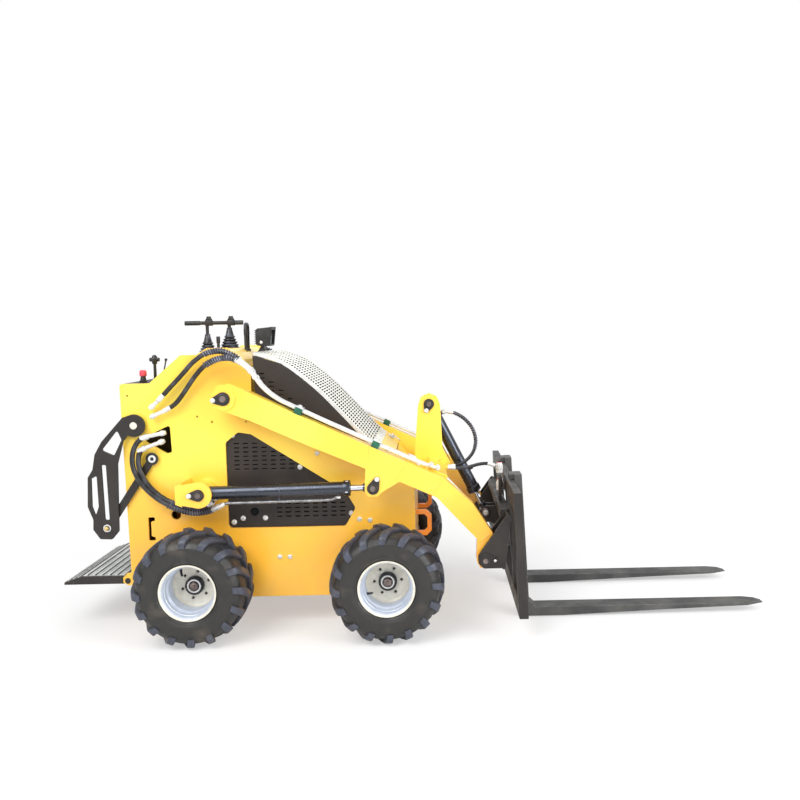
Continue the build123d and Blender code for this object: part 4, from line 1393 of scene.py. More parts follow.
@dataclass
class Controls:
    """Levers with their boots, drive bar, hand loop, knobs and work lamp. Sizes in millimetres."""

    lever_x: Pair = (-403.0, -310.0)
    lever_foot: Pair = (1081.0, 1107.0)
    bar_z: float = 1213.0
    loop_x: float = -238.0

    def make(self) -> list[bpy.types.Object]:
        """Build all of it."""
        return [self.boots(), self.bar(), self.knobs(), self.lamp()]

    def boots(self) -> bpy.types.Object:
        """Two bellows boots: a flange, five folds and a smooth cone up to the lever."""
        piece = Piece(BOOT)
        for x, foot in zip(self.lever_x, self.lever_foot):
            profile = [(38.5, 0), (38.5, 3), (35, 4.5)]
            for fold in range(4):
                radius = 36.2 - fold * 4.6
                base = 6.5 + fold * 11.5
                profile += [(radius - 5, base), (radius - 0.8, base + 3)]
                profile += [(radius, base + 5.5), (radius - 1.2, base + 8)]
            profile += [(17.5, 53), (16, 58), (11.8, 76), (10.5, 80), (11.8, 83), (11.2, 85), (7.5, 85)]
            piece.lathe(profile, spot(x, 0, foot), UP, steps=64)
            ring = foot + 2.2
            base = spot(x, 0, foot + 0.4)
            piece.rod(base, spot(x, 0, ring), 0.0388, sides=64, finish=BLACK_PLASTIC, edge=0.0006)
            for n in range(4):
                turn = math.radians(45 + 90 * n)
                seat = spot(x + 33.5 * math.cos(turn), 33.5 * math.sin(turn), ring)
                piece.bolt(seat, UP, 0.0016, Head.DOME, finish=ZINC)
        made = piece.done("lever_boots", "soft_rubber", "frame", sharp=55)
        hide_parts("control_boots")
        return made

    def bar(self) -> bpy.types.Object:
        """Drive bar with rubber grips and caps, its levers, the post and the hand loop."""
        piece = Piece(BLACK_COAT)
        ends = (-496.0, -252.0)
        bar = [spot(x, 0, self.bar_z) for x in (ends[0] + 1, ends[1] - 1)]
        piece.rod(bar[0], bar[1], 0.0078, sides=28, edge=0.001)
        for start, end in ((ends[0], ends[0] + 62), (ends[1] - 34, ends[1])):
            grip = []
            long = end - start
            steps = int(long / 4)
            for n in range(steps + 1):
                at = long * n / steps
                grip += [(9.2, at), (9.8, at + 1.2)]
            grip = [(0, 0), (7, 0)] + grip[:-1] + [(7, long), (0, long)]
            piece.lathe(grip, spot(start, 0, self.bar_z), AHEAD, steps=28, finish=BLACK_PLASTIC)
        for x, foot in zip(self.lever_x, self.lever_foot):
            piece.rod(spot(x, 0, foot + 60), spot(x, 0, self.bar_z), 0.0068, sides=24)
            piece.block(spot(x + 8, 0, self.bar_z), (0.030, 0.026, 0.024), edge=0.003)
            nut = spot(x + 8, 0, self.bar_z + 12)
            piece.rod(nut, nut + UP * 0.006, 0.0135, sides=32, edge=0.001)
            piece.rod(nut + UP * 0.006, nut + UP * 0.0135, 0.0105, sides=6)
            piece.lathe([(9, 0), (7.8, 2.4), (4.5, 2.2), (0, 2.2)], nut + UP * 0.0133, UP, steps=24)
        post = [spot(-351, -30, z) for z in (1080, 1128, 1148, 1156)]
        piece.rod(post[0], post[2], 0.0060, sides=20)
        piece.rod(post[1], post[3], 0.0078, sides=24, finish=BLACK_PLASTIC, edge=0.0025)
        half = ((-24, 1076), (-24, 1110), (-24, 1160), (-24, 1188), (-16, 1205))
        loop = [spot(self.loop_x, y, z) for y, z in half] + [spot(self.loop_x, 0, 1207)]
        loop += [spot(self.loop_x, -y, z) for y, z in reversed(half)]
        piece.tube(smooth_route(loop), 0.0060, sides=16)
        piece.tube(smooth_route(loop[2:-2]), 0.0068, sides=16, finish=BLACK_PLASTIC)
        for y in (-24, 24):
            piece.rod(spot(self.loop_x, y, 1092), spot(self.loop_x, y, 1100), 0.0105, sides=28, edge=0.0008)
        made = piece.done("drive_bar", "black_paint", "frame")
        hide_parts("control_bar")
        return made

    def knobs(self) -> bpy.types.Object:
        """Red stop button, crossed throttle knob and thin lever on the rear shelf."""
        piece = Piece(BLACK_PLASTIC)
        stop = spot(-618, -180, SHELF_TOP)
        piece.lathe([(15, 0), (15, 6), (12, 8), (9.5, 23), (0, 23)], stop, UP, steps=40)
        cap = [(0, 22.5), (10.5, 23), (13.4, 25.5), (14, 30), (13.6, 40), (12.4, 45.5), (9, 48.2), (0, 49)]
        piece.lathe(cap, stop, UP, steps=48, finish=RED_PLASTIC)
        foot = spot(-590, -120, SHELF_TOP)
        arm = foot + UP * 0.088
        piece.lathe([(15, 0), (15, 5), (10, 8), (6.2, 12), (5.8, 70), (0, 70)], foot, UP, steps=32)
        for way in (AHEAD, Side.LEFT.outward):
            piece.rod(arm - way * 0.0205, arm + way * 0.0205, 0.0080, sides=24, edge=0.003)
        knob = [(0, 68), (9, 70), (11, 78), (12, 90), (10, 100), (6, 106), (0, 107.5)]
        piece.lathe(knob, foot, UP, steps=32)
        tip = spot(-534.6, -150, 1061)
        root = spot(-547.4, -150, 1000.7)
        piece.rod(root, tip, 0.0028, sides=14)
        piece.lathe([(0, -2), (4, 0), (5.8, 4), (5, 9), (0, 11)], tip, (tip - root).normalized(), steps=20)
        piece.rod(spot(-552, -150, SHELF_TOP), root + UP * 0.004, 0.0075, 0.0045, sides=20)
        made = piece.done("shelf_knobs", "moulded_black", "frame")
        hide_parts("console_switches")
        return made

    def lamp(self) -> bpy.types.Object:
        """Cooling ribs, visor lip, reflector and bracket bolts of the work lamp."""
        piece = Piece(BLACK_PLASTIC)
        for n in range(7):
            z = 1124 + n * 9
            piece.block(spot(-194.5, 0, z), (0.008, 0.076, 0.0026), edge=0.0006)
        lip = [spot(-133, -46, 1116), spot(-124.6, -46, 1191), spot(-124.6, 46, 1191), spot(-133, 46, 1116)]
        for one, other in zip(lip, lip[1:] + lip[:1]):
            piece.rod(one, other, 0.0018, sides=10)
        bowl = [(29, 9.5), (24, 3), (15, -1), (5, -2.2), (0, -2.2)]
        piece.lathe(bowl, spot(-150, 0, 1150), AHEAD, steps=48, finish=ZINC)
        for side in Side:
            piece.bolt(side.spot(-168, 47.5, 1128), side.outward, 0.0030, Head.HEX, finish=ZINC)
        return piece.done("lamp_trim", "moulded_black", "frame")


# ---- arms, cylinders and hoses --------------------------------------------------------------


@dataclass
class ArmDress:
    """Pins, pipes, clamps and weld seams that ride on the lift arms. Sizes in millimetres."""

    arm_out: float = 403.0
    pipe_radius: float = 0.0068
    clamp_x: Pair = (16.0, 306.0)
    pipes: tuple[tuple[Triple, ...], ...] = (
        ((-144, 364, 1032), (-94, 364, 958), (-40, 364, 914), (150, 364, 821), (420, 364, 696),
         (500, 364, 659), (545, 361, 640), (560, 340, 634), (560, 306, 632)),
        ((-148, 388, 1034), (-98, 388, 960), (-44, 388, 916), (146, 388, 823), (400, 388, 705),
         (476, 388, 670), (520, 385, 652), (535, 350, 646), (535, 306, 643)),
    )
    hose_ends: tuple[Triple, ...] = ((-170, 360, 1050), (-170, 384, 1052))

    def top(self, x: float) -> float:
        """Height of the arm's back at x."""
        if x < 301:
            return 858 - (x - 30) * 125 / 271
        return 733 - (x - 301) * 130 / 281

    def make(self) -> list[bpy.types.Object]:
        """Build all of it."""
        return [self.pins(), self.oil_pipes(), self.seams()]

    def pins(self) -> bpy.types.Object:
        """Arm pivots, rod pins and tower pins with their keepers."""
        piece = Piece(BLACK_COAT)
        side = Side.RIGHT
        Keeper(ARM_PIVOT, 19, (-280, 917), 409, 403).add(piece, side)
        Keeper(LIFT_EYE, 16, (328, 605), 403, 402).add(piece, side)
        Keeper(TILT_BASE, 15, (517, 829), 48, 47.8).add(piece, side)
        piece.rod(side.at(ARM_PIVOT, 275.5), side.at(ARM_PIVOT, 341), 0.020, sides=40, finish=DARK_STEEL)
        made = piece.mirrored().done("arm_pins_dressed", "zinc", "lift_arms")
        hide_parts("arm_pins")
        return made

    def oil_pipes(self) -> bpy.types.Object:
        """Twin plated pipes down each arm, with end nuts, green clamps and their top plates."""
        piece = Piece(ZINC)
        side = Side.RIGHT
        for points, hose_end in zip(self.pipes, self.hose_ends):
            route = smooth_route([side.spot(*point) for point in points])
            piece.tube(route, self.pipe_radius, sides=18)
            nut = side.spot(*hose_end)
            seat = route[0] + (route[1] - route[0]).normalized() * 0.004
            piece.rod(nut, nut.lerp(route[0], 0.55), 0.0104, sides=6)
            piece.rod(nut.lerp(route[0], 0.5), seat, 0.0088, sides=24)
            for start, ahead in ((route[0], route[1]), (route[-1], route[-2])):
                way = (ahead - start).normalized()
                piece.rod(start, start + way * 0.018, 0.0108, sides=6)
                piece.rod(start + way * 0.018, start + way * 0.026, 0.0092, 0.0066, sides=24)
                piece.rod(start + way * 0.034, start + way * 0.046, 0.0096, sides=6)
        for x in self.clamp_x:
            foot = self.top(x) - 0.6
            heel = self.top(x + 27) - 0.6
            corners = [(x, foot), (x + 27, heel), (x + 38, heel + 24), (x + 11, foot + 24)]
            route = [side.spot(cx, 400, cz) for cx, cz in corners]
            piece.plate(route, side.outward * -0.048, finish=GREEN_PLASTIC, edge=0.002, round_corners=0.003)
            lid = [(x + 12, foot + 23.5), (x + 38, heel + 23.5), (x + 39, heel + 27), (x + 13, foot + 27)]
            piece.plate([side.spot(cx, 399, cz) for cx, cz in lid], side.outward * -0.046, edge=0.0008)
            lean = Vector((heel - foot, 0, -27)).normalized() * -1
            piece.bolt(side.spot(x + 25.5, 376, (foot + heel) / 2 + 27), lean, 0.0040, Head.HEX)
        made = piece.mirrored().done("arm_oil_pipes", "zinc", "lift_arms")
        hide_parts("arm_pipes")
        return made

    def seams(self) -> bpy.types.Object:
        """Butt seams across the arms, and beads where the cross tube and the tower are welded."""
        piece = Piece(BODY_YELLOW)
        side = Side.RIGHT
        out = self.arm_out - 0.4
        seams = (
            ((300, 657), (301, 729)), ((402, 600), (440, 668)), ((536, 545), (582, 601)),
            ((707, 352), (764, 388)),
        )
        for start, end in seams:
            piece.weld([side.at(start, out), side.at(end, out)], 0.0020)
        reach = 38 * 1.414
        turns = [math.radians(90 * n - 20) for n in range(5)]
        ring = [side.spot(545 + reach * math.cos(a), 346.5, 582 - reach * math.sin(a)) for a in turns]
        for one, other in zip(ring, ring[1:]):
            piece.weld([one, other], 0.0036)
        for y in (34.6, 49.4):
            piece.weld([side.spot(497, y, 589), side.spot(577, y, 625)], 0.0036)
        return piece.mirrored().done("arm_welds", "yellow_paint", "lift_arms", sharp=60)


def toward(base: Pair, eye: Pair, distance: float) -> Pair:
    """The x and z of the point that far from base on the way to eye, all in millimetres."""
    share = distance / math.dist(base, eye)
    return base[0] + (eye[0] - base[0]) * share, base[1] + (eye[1] - base[1]) * share


class Cylinder:
    """What the lift and tilt cylinders share."""

    def along(self, distance: float) -> Vector:
        """A point on the cylinder's axis, that far from its tail pin."""
        raise NotImplementedError

    @property
    def way(self) -> Vector:
        """Direction from the tail pin to the rod's eye."""
        return (self.along(100) - self.along(0)).normalized()

    def make(self) -> list[bpy.types.Object]:
        """Build the barrel's trim and the rod's."""
        return [self.barrel(), self.rod()]

    def barrel(self) -> bpy.types.Object:
        """Build what rides on the barrel."""
        raise NotImplementedError

    def rod(self) -> bpy.types.Object:
        """Build what rides on the rod."""
        raise NotImplementedError


@dataclass
class LiftCylinder(Cylinder):
    """Rings, gland, ports and oil pipe of one lift cylinder. Places in millimetres."""

    side: Side
    out: float = 375.0
    pipe: tuple[Triple, ...] = (
        (-281, 369, 505.5), (-256, 373, 517), (-216, 375, 518), (128, 375, 522), (164, 375, 526),
        (176, 375, 550),
    )

    def along(self, distance: float) -> Vector:
        """A point on the cylinder's axis, that far from its tail pin."""
        return self.side.at(toward(LIFT_BASE, LIFT_EYE, distance), self.out)

    def barrel(self) -> bpy.types.Object:
        """Tail ring, strap, slotted gland, ports with their nuts, and the oil pipe."""
        place, out = self.side.spot, self.out
        piece = Piece(BARREL_GLOSS)
        tail = [(20, 0), (26.2, 0.6), (27.2, 3), (26.8, 5.6), (20, 6.2)]
        piece.lathe(tail, self.along(33), self.way, steps=56)
        gland = [(26.2, 0), (30, 1.2), (30.4, 3), (30.4, 24), (29.2, 26.2), (20, 26.6)]
        gland += [(19, 28), (16, 28.2), (15, 26.6), (12.7, 26.6)]
        piece.lathe(gland, self.along(546), self.way, steps=56)
        across = facing(self.way.cross(UP).normalized(), Vector())
        for n in range(4):
            turn = math.radians(90 * n + 20)
            slot = self.along(560) + (UP * math.cos(turn) + self.side.outward * math.sin(turn)) * 0.0300
            piece.block(slot, (0.010, 0.004, 0.004), across, finish=ZINC, edge=0.0008)
        piece.rod(place(176, out, 538), place(176, out, 548), 0.0105, sides=24, edge=0.001)
        piece.rod(place(176, out, 529), place(176, out, 537), 0.0092, sides=6, finish=ZINC)
        route = [place(*point) for point in self.pipe]
        run = (route[1] - route[0]).normalized()
        shoulder = route[0] + run * 0.014
        piece.rod(route[0], shoulder, 0.0098, sides=6, finish=ZINC)
        piece.rod(shoulder, route[0] + run * 0.024, 0.0085, 0.0056, sides=24, finish=ZINC)
        piece.rod(place(-297, 371, 531), place(-294, 371, 546), 0.0092, sides=6, finish=ZINC)
        piece.tube(smooth_route(route), 0.0058, sides=16, finish=PIPE_STEEL)
        strap = self.along(300)
        piece.lathe([(26.4, -6), (27.2, -5), (27.2, 5), (26.4, 6)], strap, self.way, steps=48)
        piece.block(strap + UP * -0.031, (0.010, 0.010, 0.014), edge=0.001)
        word = self.side.word
        return piece.done("lift_barrel_trim_" + word, "barrel_black", "lift_barrel_" + word)

    def rod(self) -> bpy.types.Object:
        """Collar on the rod's end and rings round its eye."""
        piece = Piece(BARREL_GLOSS)
        collar = [(12.7, 0), (15.2, 1), (15.8, 4), (17, 8), (17, 20)]
        piece.lathe(collar, self.along(620), self.way, steps=40)
        ring = [(16.8, -14.5), (22.8, -14.5), (23.6, -13), (23.6, 13), (22.8, 14.5), (16.8, 14.5)]
        piece.lathe(ring, self.side.at(LIFT_EYE, self.out), self.side.outward, steps=48, loop=True)
        word = self.side.word
        return piece.done("lift_rod_trim_" + word, "barrel_black", "lift_rod_" + word)


class TiltCylinder(Cylinder):
    """Rings, gland and port of the tilt cylinder. Places in millimetres."""

    def along(self, distance: float) -> Vector:
        """A point on the cylinder's axis, that far from its trunnion."""
        return Side.RIGHT.at(toward(TILT_BASE, TILT_EYE, distance), 0)

    def barrel(self) -> bpy.types.Object:
        """Tail ring, gland, port nut and bracket."""
        piece = Piece(BARREL_GLOSS)
        gland = [(25.2, 0), (29, 1.2), (29.4, 3), (29.4, 23), (28, 25.6), (20, 26.2)]
        gland += [(19, 27.6), (16, 27.8), (15, 26.2), (12.7, 26.2)]
        piece.lathe(gland, self.along(405), self.way, steps=56)
        piece.lathe([(25, 0), (26.2, 1), (26.2, 6), (25, 7)], self.along(34), self.way, steps=48)
        port = spot(595, 0, 820)
        run = (port - self.along(60)).normalized()
        piece.rod(port - run * 0.012, port + run * 0.001, 0.0105, sides=6, finish=ZINC)
        seat = self.along(330) + Vector((0.024, 0, 0.012))
        piece.block(seat, (0.030, 0.024, 0.016), facing(self.way, Vector()), edge=0.002)
        return piece.done("tilt_barrel_trim", "barrel_black", "tilt_barrel")

    def rod(self) -> bpy.types.Object:
        """Ring round the rod's eye and collar on its end."""
        piece = Piece(BARREL_GLOSS)
        ring = [(15.5, -20.5), (21.6, -20.5), (22.6, -19), (22.6, 19), (21.6, 20.5), (15.5, 20.5)]
        piece.lathe(ring, Side.RIGHT.at(TILT_EYE, 0), Side.LEFT.outward, steps=48, loop=True)
        piece.lathe([(12.7, 0), (15, 1.2), (16.2, 6), (16.2, 16)], self.along(488), self.way, steps=40)
        return piece.done("tilt_rod_trim", "barrel_black", "tilt_rod")


@dataclass
class HoseRun:
    """Hoses that run between two bodies, with crimped ends and a spiral wrap. Points in millimetres."""

    name: str
    node: str
    bodies: tuple[str, str]
    routes: tuple[tuple[Triple, ...], ...]
    radius: float
    wrap_from: float = 1.0
    wrap_to: float = 1.0
    wrap_wire: float = 0.0028
    flip: int = 1

    def crimp(self, piece: Piece, start: Vector, way: Vector) -> None:
        """A swaged sleeve on a hose's end, with its hexagon.

        Args:
            piece: The hose's piece.
            start: The hose's end.
            way: Direction into the hose.
        """
        size = self.radius * 1000
        full, slim = size * 1.16, size * 1.08
        sleeve = [(size * 0.6, -2), (size * 1.02, -1)]
        for n in range(5):
            at = 2 + n * 5.5
            sleeve += [(full, at), (full, at + 3), (slim, at + 3.8), (slim, at + 5)]
        sleeve += [(size * 1.14, 30), (size, 31.2)]
        piece.lathe(sleeve, start, way, steps=28, finish=ZINC)

    def make(self) -> list[bpy.types.Object]:
        """Build the hoses, set in place on no body."""
        piece = Piece(HOSE)
        for points in self.routes:
            route = even_route(smooth_route([spot(x, y * self.flip, z) for x, y, z in points]), 0.006)
            piece.tube(route, self.radius, sides=18)
            self.crimp(piece, route[0], (route[1] - route[0]).normalized())
            self.crimp(piece, route[-1], (route[-2] - route[-1]).normalized())
            if self.wrap_to > self.wrap_from:
                last = len(route) - 1
                part = route[int(last * self.wrap_from): int(last * self.wrap_to) + 1]
                piece.coil(part, self.radius + self.wrap_wire * 0.4, 0.0105, self.wrap_wire, finish=SPIRAL)
        made = piece.done(self.name, "soft_rubber", None, sharp=50)
        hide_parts(self.node)
        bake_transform(made)
        return [made]


LIFT_ROUTES = (
    (
        (-562, 314, 774), (-584, 314, 768), (-606, 315, 751), (-621, 317, 724), (-627, 320, 689),
        (-623, 323, 649), (-604, 326, 608), (-572, 329, 566), (-530, 332, 530), (-482, 335, 502),
        (-430, 340, 482), (-378, 348, 476), (-328, 358, 484), (-284, 368, 504),
    ),
    (
        (-575, 314, 729), (-590, 314, 722), (-601, 315, 704), (-605, 317, 676), (-598, 320, 638),
        (-578, 323, 598), (-548, 326, 562), (-508, 329, 530), (-462, 332, 508), (-414, 336, 497),
        (-368, 344, 499), (-332, 355, 509), (-308, 365, 522),
    ),
)
HUMP_ROUTES = (
    (
        (-518, 310, 912), (-476, 311, 956), (-426, 313, 1006), (-376, 318, 1060), (-322, 326, 1096),
        (-262, 340, 1104), (-208, 352, 1084), (-170, 360, 1050),
    ),
    (
        (-498.5, 310, 870.5), (-452, 311, 896), (-416, 313, 942), (-376, 318, 998), (-328, 332, 1048),
        (-270, 352, 1074), (-212, 372, 1076), (-170, 384, 1052),
    ),
)
TILT_ROUTE = (
    (
        (603, -5, 819), (640, -17, 814), (678, -32, 792), (712, -44, 752), (726, -54, 702),
        (716, -62, 654), (684, -68, 616), (644, -74, 598), (604, -80, 594),
    ),
)
COUPLER_ROUTE = (
    (
        (604, -104, 594), (646, -104, 590), (690, -105, 594), (730, -107, 606), (766, -109, 610),
        (799, -110, 600),
    ),
)


def hose_runs() -> list[HoseRun]:
    """Every hose on the machine, both sides."""
    runs = []
    for side in Side:
        word = side.word
        runs += [
            HoseRun(
                "lift_hose_pair_" + word, "lift_hoses_" + word, ("frame", "lift_barrel_" + word),
                LIFT_ROUTES, 0.0098, wrap_from=0.62, wrap_to=0.95, flip=side.value,
            ),
            HoseRun(
                "hump_hose_pair_" + word, "hump_hoses_" + word, ("frame", "lift_arms"),
                HUMP_ROUTES, 0.0092, wrap_from=0.60, wrap_to=0.95, flip=side.value,
            ),
        ]
    return runs + [
        HoseRun(
            "tilt_hose_wrapped", "tilt_hose", ("tilt_barrel", "lift_arms"), TILT_ROUTE, 0.0070,
            wrap_from=0.10, wrap_to=0.62, wrap_wire=0.0018,
        ),
        HoseRun(
            "coupler_hose_dressed", "coupler_hose", ("lift_arms", "carriage"), COUPLER_ROUTE, 0.0070,
        ),
    ]


# ---- carriage, platform and guards -----------------------------------------------------------


@dataclass
class CarriageTrim:
    """Pins, couplers, latches and weld beads of the tool carriage. Sizes in millimetres."""

    pivot: Pair = (737.0, 285.0)
    coupler: Pair = (818.0, -110.0)

    def make(self) -> list[bpy.types.Object]:
        """Build all of it."""
        return [self.keepers(), self.quick_couplers(), self.beads()]

    def keepers(self) -> bpy.types.Object:
        """Washers and bolt heads over the carriage's pivot pins and tilt pin."""
        piece = Piece(DARK_STEEL)
        side = Side.RIGHT
        pivot = side.spot(self.pivot[0], 430, self.pivot[1])
        piece.rod(pivot, pivot + side.outward * 0.0006, 0.0100, sides=36)
        piece.bolt(side.spot(773, 432, 287), side.outward, 0.0028, Head.DOME, finish=ZINC)
        pin_end = side.at(TILT_EYE, 44)
        piece.rod(side.at(TILT_EYE, 36), pin_end, 0.0180, sides=36, edge=0.0012)
        piece.bolt(pin_end, side.outward, 0.0052, Head.HEX, finish=ZINC)
        return piece.mirrored().done("carriage_pin_heads", "zinc", "carriage")

    def quick_couplers(self) -> bpy.types.Object:
        """Two quick couplers with knurled sleeves, hexagons and dust caps, on their bracket."""
        piece = Piece(ZINC)
        piece.block(spot(818, -110, 511), (0.012, 0.100, 0.098), edge=0.002, finish=BLACK_COAT)
        for z in (520.0, 592.0):
            foot = spot(self.coupler[0], self.coupler[1], z - 22)
            piece.rod(foot, foot + UP * 0.012, 0.0150, sides=6)
            sleeve = [(12, 12), (13.8, 12.5)]
            for n in range(5):
                at = 14 + n * 3.6
                sleeve += [(14.8, at), (14.8, at + 2), (13.6, at + 2.6)]
            sleeve += [(14, 33), (12, 34.5), (11.2, 41), (9, 44), (0, 44)]
            piece.lathe(sleeve, foot, UP, steps=40)
            cap = foot + UP * 0.0405
            piece.rod(cap, foot + UP * 0.0440, 0.0104, sides=28, finish=RED_PLASTIC, edge=0.0008)
        for y in (-146.0, -74.0):
            for z in (476.0, 546.0):
                piece.bolt(spot(824, y, z), AHEAD, 0.0034, Head.HEX)
        made = piece.done("quick_couplers", "zinc", "carriage")
        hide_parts("couplers")
        return made

    def beads(self) -> bpy.types.Object:
        """Weld beads where the posts meet the bars and the lugs meet the tool plate."""
        piece = Piece(BLACK_COAT)
        half = 530
        for y in (-half, -350, 310, half - 40):
            for x, z in ((869.5, 491), (880.5, 167)):
                piece.weld([spot(x, y + 1, z), spot(x, y + 39, z)], 0.0028)
        side = Side.RIGHT
        for out in (24, 37):
            piece.weld([side.spot(809, out, 326), side.spot(824, out, 408)], 0.0030)
        for out in (330.5, 411):
            piece.weld([side.spot(803, out, 258), side.spot(822, out, 424)], 0.0028)
        return piece.mirrored().done("carriage_welds", "black_paint", "carriage", sharp=60)


@dataclass
class PlatformTread:
    """Light alloy tread with serrated ribs, edge strip and hinge bolts. Sizes in millimetres."""

    half: float = 268.0
    first: float = -856.0
    pitch: float = 15.0
    ribs: int = 11

    def make(self) -> list[bpy.types.Object]:
        """Build the tread and its fasteners."""
        piece = Piece(TREAD_ALLOY)
        sheet = ((-868, 208.1), (-702, 208.1), (-702, 209.6), (-868, 209.6))
        deck = [spot(x, -self.half + 10, z) for x, z in sheet]
        piece.plate(deck, Vector((0, 2 * (self.half - 10) / 1000, 0)))
        for n in range(self.ribs):
            x = self.first + n * self.pitch
            section = [(x - 3.6, 209.4), (x + 3.6, 209.4), (x + 2.2, 211.9), (x - 2.2, 211.9)]
            corners = [spot(cx, -self.half + 12, cz) for cx, cz in section]
            piece.plate(corners, Vector((0, 2 * (self.half - 12) / 1000, 0)), edge=0.0005)
        slope = Matrix.Rotation(math.atan2(-22, 68), 4, "Y")
        for n in range(3):
            x = -927 + n * 20
            z = 186 + (x + 940) * 22 / 68 + 0.7
            piece.block(spot(x, 0, z), (0.006, 0.520, 0.003), slope, edge=0.0008)
        tread = piece.done("platform_tread", "black_paint", "platform")
        fasteners = Piece(ZINC)
        for out in (-200, -70, 70, 200):
            fasteners.bolt(spot(-693, out, 202), UP, 0.0040, Head.HEX)
        for side in Side:
            fasteners.bolt(side.spot(-900, 268, 187), side.outward * -1, 0.0010, Head.DOME)
        return [tread, fasteners.done("platform_bolts", "zinc", "platform")]


@dataclass
class GuardTrim:
    """Boss rings, brass stay bolts and washers of the side guards. Places in millimetres."""

    side: Side

    def make(self) -> list[bpy.types.Object]:
        """Build the fastenings of one guard and its stay."""
        out = self.side.outward
        piece = Piece(BRASS)
        foot = self.side.at(GUARD_BOLT, 308.2)
        piece.lathe([(10.5, 0), (15, 0), (15, 1.8), (10.5, 2.2)], foot, out, steps=36, loop=True, finish=ZINC)
        piece.bolt(self.side.at(GUARD_BOLT, 316), out, 0.0042, Head.HEX)
        boss = [(14, 0), (14.2, 3), (12.4, 5.6), (7, 6.8), (0, 7)]
        piece.lathe(boss, self.side.at(GUARD_PIVOT, 308), out, steps=40, finish=RIM_PAINT)
        guard = piece.done("guard_bolts_" + self.side.word, "zinc", "guard_" + self.side.word)
        stay = Piece(ZINC)
        washer = [(6.6, 0), (12.8, 0), (12.8, 1.2), (6.6, 1.2)]
        stay.lathe(washer, self.side.at(STAY_PIVOT, 297.5), out * -1, steps=36, loop=True)
        made = stay.done("stay_washer_" + self.side.word, "zinc", "stay_" + self.side.word)
        return [guard, made]


# ---- dressing, camera and studio ----------------------------------------------------------------


def dress_solids() -> None:
    """Give every solid of the machine its finish, by the slot that it carries."""
    made = {name: finish.material() for name, finish in SLOT_FINISH.items()}
    blades = BLADE_STEEL.material()
    for piece in bpy.data.objects:
        if piece.type != "MESH":
            continue
        for place in piece.material_slots:
            name = place.name.split(".")[0]
            if name in made:
                place.material = made[name]
            if piece.name.startswith("fork_"):
                place.material = blades


@dataclass
class ViewCamera:
    """The camera, by its place in metres and its turns in radians."""

    place: Triple = (0.0874, -3.4300, 1.1633)
    yaw: float = 0.013358
    pitch: float = 0.085825
    roll: float = -0.016931
    lens: float = 36.19
    shift: float = -0.05625

    def make(self) -> bpy.types.Object:
        """Place the camera and make it the scene's own."""
        data = bpy.data.cameras.new("view")
        data.sensor_width = 36.0
        data.lens = self.lens
        data.shift_x = self.shift
        camera = bpy.data.objects.new("view", data)
        flat = math.cos(self.pitch)
        ahead = Vector((math.sin(self.yaw) * flat, math.cos(self.yaw) * flat, -math.sin(self.pitch)))
        level = Vector((math.cos(self.yaw), -math.sin(self.yaw), 0.0))
        above = level.cross(ahead)
        right = level * math.cos(self.roll) + above * math.sin(self.roll)
        up = above * math.cos(self.roll) - level * math.sin(self.roll)
        turned = Matrix((right, up, -ahead)).transposed()
        camera.matrix_world = Matrix.Translation(self.place) @ turned.to_4x4()
        bpy.context.scene.collection.objects.link(camera)
        bpy.context.scene.camera = camera
        return camera


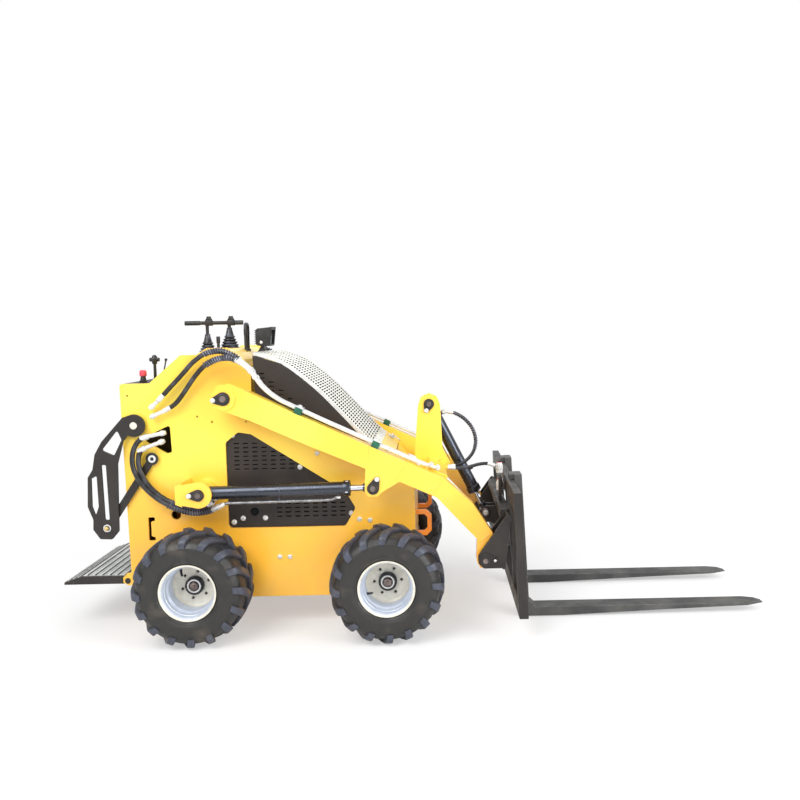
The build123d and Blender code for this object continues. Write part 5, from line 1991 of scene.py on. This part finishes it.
@dataclass
class Studio:
    """Pale floor, white backdrop and soft lamps."""

    key_power: float = 145.0
    fill_power: float = 115.0
    rear_power: float = 34.0
    world_light: float = 0.7
    floor_share: float = 0.55
    fade_from: float = 1.1
    fade_to: float = 2.6

    def make(self) -> None:
        """Build the floor, the lamps and the world."""
        self.floor()
        self.lamp("key", (-1.9, -3.0, 3.4), (0.0, 0.0, 0.4), 2.6, self.key_power)
        self.lamp("fill", (3.2, -2.4, 1.8), (0.2, 0.0, 0.5), 2.4, self.fill_power)
        self.lamp("rear", (-0.5, 2.8, 3.0), (0.0, 0.0, 0.5), 2.6, self.rear_power)
        self.world()

    def lamp(
        self, name: str, place: Triple, aim: Triple, size: float, power: float,
    ) -> None:
        """A square soft lamp.

        Args:
            name: Its name.
            place: Where it stands, in metres.
            aim: The point it faces.
            size: Its edge length.
            power: Its power in watts.
        """
        data = bpy.data.lights.new(name, "AREA")
        data.size = size
        data.energy = power
        lamp = bpy.data.objects.new(name, data)
        way = Vector(aim) - Vector(place)
        lamp.matrix_world = Matrix.Translation(place) @ way.to_track_quat("-Z", "Y").to_matrix().to_4x4()
        bpy.context.scene.collection.objects.link(lamp)

    def floor(self) -> None:
        """Pale floor that keeps the machine's shadow and fades to white far away."""
        part = bmesh.new()
        bmesh.ops.create_grid(part, x_segments=2, y_segments=2, size=30.0)
        shape = bpy.data.meshes.new("floor")
        part.to_mesh(shape)
        part.free()
        floor = bpy.data.objects.new("floor", shape)
        bpy.context.scene.collection.objects.link(floor)
        bench = ShaderBench("floor_white")
        bench.tree.nodes.remove(bench.surface)
        reach = bench.add("ShaderNodeVectorMath", operation="LENGTH")
        bench.feed(reach.inputs[0], bench.place)
        fade = bench.add("ShaderNodeMapRange", interpolation_type="SMOOTHERSTEP")
        bench.feed(fade.inputs["Value"], reach.outputs["Value"])
        bench.feed(fade.inputs["From Min"], self.fade_from)
        bench.feed(fade.inputs["From Max"], self.fade_to)
        diffuse = bench.add("ShaderNodeBsdfDiffuse")
        bench.feed(diffuse.inputs["Color"], (0.86, 0.86, 0.86, 1))
        white = bench.add("ShaderNodeEmission")
        bench.feed(white.inputs["Strength"], 1.0)
        near = bench.blended(1 - self.floor_share, diffuse.outputs[0], white.outputs[0])
        far = bench.blended(fade.outputs["Result"], near, white.outputs[0])
        seen = bench.add("ShaderNodeLightPath").outputs["Is Camera Ray"]
        bench.feed(bench.output.inputs["Surface"], bench.blended(seen, diffuse.outputs[0], far))
        shape.materials.append(bench.material)

    def world(self) -> None:
        """White to the camera and in reflections; softer as a light."""
        world = bpy.data.worlds.new("studio")
        world.use_nodes = True
        bench = NodeBench(world.node_tree)
        seen = bench.add("ShaderNodeLightPath")
        either = bench.add("ShaderNodeMath", operation="MAXIMUM")
        bench.feed(either.inputs[0], seen.outputs["Is Camera Ray"])
        bench.feed(either.inputs[1], seen.outputs["Is Transmission Ray"])
        light, white = bench.add("ShaderNodeBackground"), bench.add("ShaderNodeBackground")
        for node in (light, white):
            bench.feed(node.inputs["Color"], (1, 1, 1, 1))
        bench.feed(light.inputs["Strength"], self.world_light)
        mix = bench.blended(either.outputs[0], light.outputs[0], white.outputs[0])
        bench.feed(bench.add("ShaderNodeOutputWorld").inputs["Surface"], mix)
        bpy.context.scene.world = world


def main() -> None:
    """Dress the machine, light it and place the camera."""
    ViewCamera().make()
    bpy.context.scene.view_settings.view_transform = "Standard"
    Studio().make()
    dress_solids()
    made: list[bpy.types.Object] = []
    for side in Side:
        made += Wheel("front", side, 362.0).make() + Wheel("rear", side, -370.0, hole_turn=18.0).make()
    made += BodyTrim().make() + Bonnet().make() + Controls().make() + ArmDress().make()
    for side in Side:
        made += LiftCylinder(side).make() + GuardTrim(side).make()
    made += TiltCylinder().make() + CarriageTrim().make() + PlatformTread().make()
    for run in hose_runs():
        made += run.make()
    log.info("%d dressed pieces", len(made))
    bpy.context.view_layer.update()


if __name__ == "__main__":
    main()
